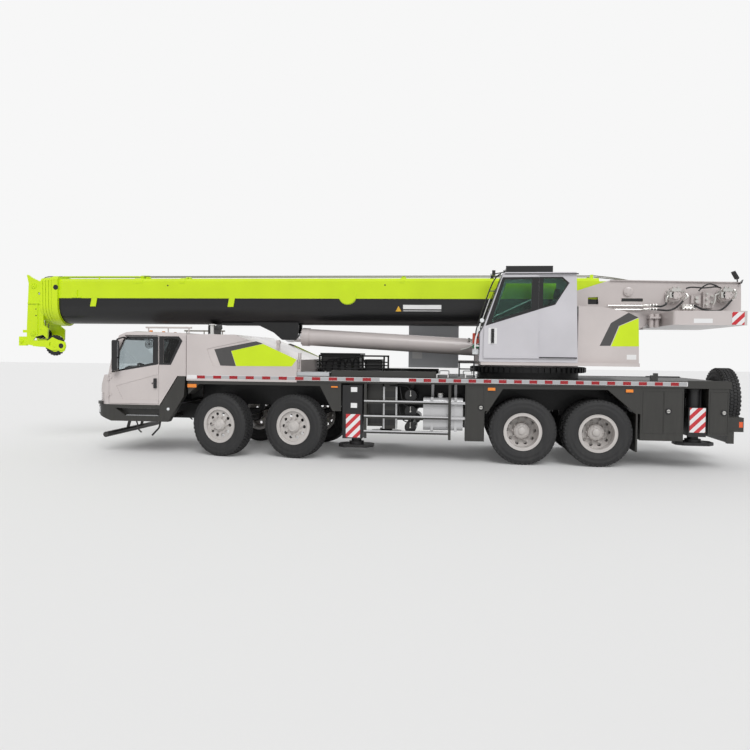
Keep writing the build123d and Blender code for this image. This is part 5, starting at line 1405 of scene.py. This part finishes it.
def fitLockers():
    locks, plates = Shape(), Shape()
    spots = {1: ((-5.799, 1.049), (-6.748, 1.039), (-2.470, 1.050)),
             -1: ((-5.500, 1.049), (-6.748, 1.039), (-6.220, 1.049), (-2.470, 1.050), (0.030, 1.060))}
    for side, places in spots.items():
        for x, z in places:
            y = side * 1.400
            locks.lathe([(0.034, y - side * 0.006), (0.034, y + side * 0.002), (0.048, y + side * 0.004),
                         (0.055, y - side * 0.001)],
                        (x, 0, z), "Y", 28)
            plates.lathe([(0.0, y - side * 0.001), (0.032, y - side * 0.001), (0.033, y - side * 0.006)],
                         (x, 0, z), "Y", 28)
            locks.box(x - 0.028, x + 0.028, y - side * 0.001, y + side * 0.003, z - 0.005, z + 0.005)
    locks.piece("lockRings", "blackTrim", "carrier", "trim_black")
    plates.piece("lockPlates", "zincFitting", "carrier")
    for name, material, y0, y1 in (("tailRed", "redLens", 1.062, 1.150), ("tailAmber", "amberLens", 1.160, 1.230),
                                   ("tailWhite", "clearLens", 1.240, 1.290)):
        lens = Shape().box(-7.106, -7.099, y0, y1, 0.780, 0.880)
        lens.bothSides().piece(name, material, "carrier", bevel=0.003)
    rear = Shape().box(-6.936, -6.929, -0.26, 0.26, 0.500, 0.590)
    rear.piece("rearPlate", "whitePlate", "carrier", bevel=0.001)
    flank = Shape()
    for side in (1, -1):
        flank.box(-7.085, -7.020, side * 1.3495, side * 1.3530, 0.780, 0.880)
    flank.piece("tailSideLenses", "orangeLens", "carrier", bevel=0.002)


def fitUnderCover():
    # valve cabinet, frames and hoses on the deck's right, seen past the engine cover
    gear = Shape()
    gear.box(0.060, 0.900, -1.290, -0.500, 1.579, 2.000)
    gear.box(0.040, 0.920, -1.300, -0.490, 1.990, 2.030)
    gear.box(-0.420, -0.040, -1.200, -0.600, 1.579, 1.900)
    for x in (-0.560, -0.470, 0.000, 0.940):
        gear.box(x - 0.018, x + 0.018, -0.560, -0.520, 1.579, 1.990)
    gear.box(-0.580, 0.960, -0.560, -0.520, 1.955, 1.990)
    gear.piece("deckGear", "chassisPaint", "carrier", "chassis_black", bevel=0.006)
    panels = Shape()
    for x0, x1, z0, z1 in ((0.100, 0.460, 1.640, 1.940), (0.500, 0.860, 1.640, 1.940),
                           (-0.390, -0.070, 1.620, 1.860)):
        panels.box(x0, x1, -0.5005 if x0 > 0 else -0.6005, -0.494 if x0 > 0 else -0.592, z0, z1)
    panels.piece("deckPanels", "darkPanel", "carrier", "dark_grey_panel", bevel=0.004)
    hoses = Shape()
    for k in range(5):
        x = 0.800 - k * 0.150
        hoses.pipe([(x, -0.470, 1.600), (x, -0.470, 1.760), (x - 0.04, -0.460, 1.860 + 0.012 * k),
                    (x - 0.18, -0.450, 1.900 + 0.012 * k),
                    (x - 0.26, -0.470, 1.840), (x - 0.27, -0.480, 1.700), (x - 0.26, -0.480, 1.600)], 0.015, 8, 6)
    for k in range(3):
        z = 1.700 + 0.070 * k
        hoses.pipe([(0.980, -0.430, z), (0.600, -0.420, z + 0.010), (0.200, -0.430, z - 0.010),
                    (-0.200, -0.440, z + 0.010),
                    (-0.560, -0.430, z)], 0.012, 8, 5)
    hoses.piece("deckHoses", "hoseRubber", "carrier")
    ends = Shape()
    for k in range(5):
        x = 0.800 - k * 0.150
        ends.rod((x, -0.470, 1.585), (x, -0.470, 1.640), 0.021, 8)
        ends.rod((x - 0.26, -0.480, 1.585), (x - 0.26, -0.480, 1.640), 0.021, 8)
    ends.box(0.330, 0.360, -0.4945, -0.4905, 1.740, 1.830)
    ends.piece("deckFittings", "zincFitting", "carrier")


fitDeck()
fitLockers()
fitUnderCover()
print("deck, guards and tail fitted")

# winches, hoses and ropes

winchAxes = ((-6.110, 3.200), (-7.036, 3.200))
ropeLook = {"radius": 0.011, "free": 0.010, "wraps": 27, "pitch": 0.0228, "drum": 0.186, "core": 0.172,
            "plane": 0.110, "top": 3.618, "guide": -4.640}


def windDrums():
    coils = Shape()
    radius, step = ropeLook["radius"], ropeLook["pitch"]
    start = -(ropeLook["wraps"] - 1) * step / 2
    for x, z in winchAxes:
        profile = [(ropeLook["core"], start - step)]
        for k in range(ropeLook["wraps"]):
            y = start + k * step
            profile += [(ropeLook["drum"] + radius * math.sin(a) * 1.6, y - radius * math.cos(a))
                        for a in (math.pi * t / 4 for t in range(5))]
        profile.append((ropeLook["core"], -start + step))
        coils.lathe(profile, (x, 0, z), "Y", 56, closed=True)
    coils.piece("ropeOnDrums", "ropeSteel", "superstructure", sharp=70)


def runRopes():
    y, top, radius = ropeLook["plane"], ropeLook["top"], ropeLook["free"]
    lead = Shape().pipe([(-6.110, y, 3.404), (-5.600, y, 3.480), (-5.250, y, 3.545), (-5.000, y, 3.584),
                         (-4.700, y, top)], radius, 10, 12)
    lead.pipe([(-7.036, -y, 3.404), (-6.400, -y, 3.455), (-5.600, -y, 3.520), (-5.100, -y, 3.578),
               (-4.700, -y, top)], radius, 10, 12)
    lead = lead.piece("ropeLead", "ropeSteel", None)
    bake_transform(lead)
    along = Shape()
    for side in (1, -1):
        along.rod((-4.700, side * y, top), (6.480, side * y, top), radius, 10)
    along.piece("ropeAlongBoom", "ropeSteel", "boom_base")
    stations = (6.480, 6.590, 6.660, 6.730, 6.800)
    for i in range(4):
        reach = Shape()
        for side in (1, -1):
            reach.rod((stations[i], side * y, top), (stations[i + 1], side * y, top), radius, 10)
        run = reach.piece(f"ropeReach_{i + 2}", "ropeSteel", None)
        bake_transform(run)
    tip = Shape()
    for side in (1, -1):
        tip.pipe([(6.800, side * y, top), (6.900, side * y, 3.590), (7.000, side * (y - 0.03), 3.512),
                  (7.080, side * 0.062, 3.480),
                  (7.116, side * 0.060, 3.400), (7.124, side * 0.060, 3.000), (7.128, side * 0.060, 2.380),
                  (7.090, side * 0.060, 2.300), (7.020, side * 0.060, 2.276), (6.945, side * 0.060, 2.320),
                  (6.920, side * 0.060, 2.400), (6.915, side * 0.060, 2.780)], radius, 10, 6)
    tip.piece("ropeTip", "ropeSteel", "boom_section_5")
    guides, x = Shape(), ropeLook["guide"]
    for side in (1, -1):
        guides.box(x - 0.030, x + 0.030, side * 0.175 - 0.006, side * 0.175 + 0.006, 3.545, 3.632)
    guides.rod((x, -0.180, 3.592), (x, 0.180, 3.592), 0.016, 14)
    guides.piece("ropeGuides", "limePaint", "boom_base", "boom_green")


def pipeWinches():
    dark, pale = Shape(), Shape()
    # radius, points of each fixed hydraulic line outside the left plate
    runs = (
        (dark, 0.018, ((-5.662, 3.001), (-5.780, 2.985), (-5.858, 2.983), (-5.935, 3.020), (-5.946, 3.060))),
        (pale, 0.020, ((-5.946, 3.060), (-5.945, 3.110), (-5.963, 3.160), (-6.005, 3.198))),
        (dark, 0.018, ((-5.663, 2.930), (-5.850, 2.912), (-5.981, 2.905), (-6.102, 2.946), (-6.200, 3.030),
                       (-6.256, 3.090))),
        (pale, 0.020, ((-6.256, 3.090), (-6.300, 3.130), (-6.327, 3.173), (-6.301, 3.224))),
        (dark, 0.018, ((-6.452, 3.010), (-6.540, 2.955), (-6.647, 2.920), (-6.863, 2.898), (-7.005, 2.970),
                       (-7.133, 3.112))),
        (pale, 0.020, ((-7.133, 3.112), (-7.185, 3.190), (-7.190, 3.250), (-7.164, 3.300))),
        (dark, 0.014, ((-6.530, 3.274), (-6.600, 3.349), (-6.707, 3.406), (-6.816, 3.378), (-6.875, 3.355))),
        (dark, 0.014, ((-6.300, 3.320), (-6.395, 3.343), (-6.636, 3.331), (-6.828, 3.350), (-6.930, 3.330))),
        (pale, 0.020, ((-6.800, 3.020), (-6.822, 3.099), (-6.825, 3.187), (-6.891, 3.218))),
        (pale, 0.015, ((-5.530, 3.001), (-5.662, 3.001))),
        (pale, 0.015, ((-5.530, 2.926), (-5.663, 2.930))),
    )
    for shape, radius, points in runs:
        shape.pipe([(x, 0.610 if i not in (0, len(points) - 1) else 0.590, z) for i, (x, z) in enumerate(points)],
                   radius, 10, 5)
    for z in (3.001, 2.926):
        pale.rod((-4.900, 0.480, z), (-5.540, 0.480, z), 0.015, 10)
        pale.pipe([(-5.540, 0.480, z), (-5.580, 0.500, z), (-5.620, 0.590, z), (-5.662, 0.590, z)], 0.015, 10, 4)
        for k in range(3):
            pale.rod((-5.640 - k * 0.055, 0.600, z), (-5.668 - k * 0.055, 0.600, z), 0.027, 6)
    for x in (-6.290, -6.350, -6.410, -6.470):
        for z in (2.945, 3.000):
            pale.rod((x + 0.020, 0.520, z), (x - 0.020, 0.520, z), 0.024, 6)
    pale.rod((-6.260, 0.520, 2.972), (-6.500, 0.520, 2.972), 0.014, 10)
    for x in (-6.280, -6.480):
        pale.box(x - 0.020, x + 0.020, 0.438, 0.540, 2.930, 3.015)
    dark.piece("winchHoses", "hoseRubber", "superstructure")
    for x, z in winchAxes:
        ring = grow(nutRing, "zincFitting", Count=12, Radius=0.142, Nut_Radius=0.011, Nut_Height=0.018, Sides=6)
        pale.take(ring, Matrix.Translation((x, 0.488, z)) @ alongY)
        small = grow(nutRing, "zincFitting", Count=6, Radius=0.066, Nut_Radius=0.010, Nut_Height=0.020, Sides=6)
        pale.take(small, Matrix.Translation((x, 0.658, z)) @ alongY)
        pale.lathe([(0.124, 0.500), (0.134, 0.506), (0.134, 0.530), (0.124, 0.536)], (x, 0, z), "Y", 40,
                   closed=True)
        pale.lathe([(0.124, 0.556), (0.130, 0.560), (0.130, 0.580), (0.124, 0.584)], (x, 0, z), "Y", 40,
                   closed=True)
        pale.box(x - 0.085, x + 0.085, 0.560, 0.660, z + 0.060, z + 0.115)
        pale.box(x + 0.050, x + 0.120, 0.560, 0.650, z - 0.060, z + 0.050)
        for dx, dz in ((-0.11, 0.05), (-0.10, -0.07)):
            pale.rod((x + dx, 0.590, z + dz), (x + dx - 0.05, 0.620, z + dz + 0.02), 0.022, 8)
        for dx in (-0.04, 0.04):
            pale.rod((x + dx, 0.610, z + 0.110), (x + dx, 0.610, z + 0.150), 0.024, 6)
    for z in (3.080, 3.150):
        pale.rod((-6.515, 0.500, z), (-6.515, 0.560, z), 0.030, 8)
    # plugs of the valve block between the drums
    for x, z in ((-6.690, 3.020), (-6.690, 3.120), (-6.690, 3.220), (-6.780, 3.060), (-6.780, 3.180)):
        pale.rod((x, 0.525, z), (x, 0.575, z), 0.024, 6)
        pale.rod((x, 0.575, z), (x, 0.590, z), 0.014, 10)
    pale.piece("winchFittings", "zincFitting", "superstructure")


def fitTail():
    tail = Shape().pipe([(-7.270, 0.455, 3.430), (-7.268, 0.460, 3.490), (-7.240, 0.480, 3.540)], 0.012, 10, 4)
    tail.prism([(-7.190, 3.660), (-7.150, 3.640), (-7.225, 3.505), (-7.262, 3.500), (-7.268, 3.530)],
               0.440, 0.560)
    tail.prism([(-7.300, 3.432), (-7.356, 3.500), (-7.330, 3.420), (-7.290, 3.415)], 0.445, 0.530)
    tail.piece("tailMirror", "blackTrim", "superstructure", "trim_black", bevel=0.006)
    # thin black sheet on the left plate below the boom foot pin: painted shadow
    plateShade = Shape()
    plateShade.box(-5.165, -5.555, 0.4365, 0.4375, 3.087, 3.140)
    plateShade.piece("plateShadows", "blackTrim", "superstructure", "trim_black")
    pins = Shape()
    for side in (1, -1):
        y = side * 0.475
        pins.lathe([(0.0, y + side * 0.012), (0.060, y + side * 0.010), (0.078, y + side * 0.004),
                    (0.088, y - side * 0.002)],
                   (-5.281, 0, 3.276), "Y", 40)
        for k in range(4):
            turn = math.pi / 4 + math.pi * k / 2
            pins.rod((-5.281 + 0.05 * math.cos(turn), y, 3.276 + 0.05 * math.sin(turn)),
                     (-5.281 + 0.05 * math.cos(turn), y + side * 0.018, 3.276 + 0.05 * math.sin(turn)), 0.009, 6)
    pins.piece("footPinCaps", "upperGrey", "superstructure", "upper_grey")


windDrums()
runRopes()
pipeWinches()
fitTail()
print("winches, hoses and ropes fitted")

# lift cylinder and boom head

liftBase, liftEye = Vector((-3.300, 0, 2.130)), Vector((1.450, 0, 2.375))


def fitLift():
    ahead = (liftEye - liftBase).normalized()
    over = Vector((-ahead.z, 0, ahead.x))
    lay = ahead.to_track_quat("Z", "Y").to_matrix().to_4x4()

    def at(along, out, up):
        return liftBase + ahead * along + over * up + Vector((0, out, 0))

    pale = Shape()
    pale.box(-2.800, -2.580, -0.10, 0.14, 2.290, 2.360)
    for along in (0.30, 0.42, 0.90, 1.05):
        for out in (0.110, 0.160):
            pale.rod(at(along, out, 0.120), at(along, out + 0.035, 0.165), 0.024, 6)
    pale.pipe([at(0.90, 0.170, 0.110), at(0.95, 0.230, 0.060), at(1.05, 0.235, -0.020), at(1.20, 0.210, -0.070)],
              0.018, 10, 5)
    pale.pipe([at(0.30, 0.170, 0.110), at(0.55, 0.240, 0.050), at(0.80, 0.230, -0.040), at(0.95, 0.190, -0.090)],
              0.018, 10, 5)
    pale.piece("liftFittings", "zincFitting", "lift_barrel")
    bands = Shape()
    length = (liftEye - liftBase).length - 0.255
    for along, reach in ((length - 0.150, 0.1775), (0.36, 0.1775), (2.30, 0.1765)):
        ring = Shape().lathe([(0.174, -0.012), (reach, -0.010), (reach, 0.010), (0.174, 0.012)], axis="Z",
                             steps=48, closed=True).mesh("ring")
        bands.take(ring, Matrix.Translation(at(along, 0, 0)) @ lay)
        bpy.data.meshes.remove(ring)
    bolts = grow(nutRing, "upperGrey", Count=16, Radius=0.150, Nut_Radius=0.013, Nut_Height=0.030, Sides=6)
    bands.take(bolts, Matrix.Translation(at(length + 0.010, 0, 0)) @ lay)
    bands.piece("liftBands", "upperGrey", "lift_barrel", "cylinder_grey")


def fitHead():
    nuts = Shape()
    for side in (1, -1):
        for x, z, radius, count in ((7.006, 3.400, 0.045, 6), (7.025, 2.380, 0.042, 6), (7.290, 2.210, 0.030, 4)):
            ring = grow(nutRing, "limePaint", Count=count, Radius=radius, Nut_Radius=0.009,
                        Nut_Height=0.014, Sides=6)
            nuts.take(ring, Matrix.Translation((x, side * 0.358, z)) @ alongY)
            nuts.lathe([(0.0, side * 0.362), (0.020, side * 0.360), (0.024, side * 0.351)], (x, 0, z), "Y", 20)
    for k in range(6):
        for side in (1, -1):
            nuts.rod((6.850, side * 0.339, 2.480 + k * 0.100), (6.850, side * 0.349, 2.480 + k * 0.100), 0.010, 6)
    nuts.piece("headBolts", "limePaint", "boom_section_5", "boom_green")
    # black discs on the head's side plates stand in for holes: painted shade inside the holes
    dark = Shape()
    for side in (1, -1):
        for x, z in ((6.960, 2.900), (6.958, 2.760)):
            dark.lathe([(0.0, side * 0.3415), (0.012, side * 0.3415), (0.014, side * 0.3395)], (x, 0, z), "Y", 14)
    dark.piece("headHoleShadows", "blackTrim", "boom_section_5", "trim_black")
    hub = Shape().lathe([(0.0, 0.4665), (0.045, 0.4655), (0.056, 0.4600)], (6.319, 0, 2.115), "Y", 32)
    hub.piece("tipHub", "blackTrim", "boom_section_5", "trim_black")


fitLift()
fitHead()
print("lift cylinder and boom head fitted")
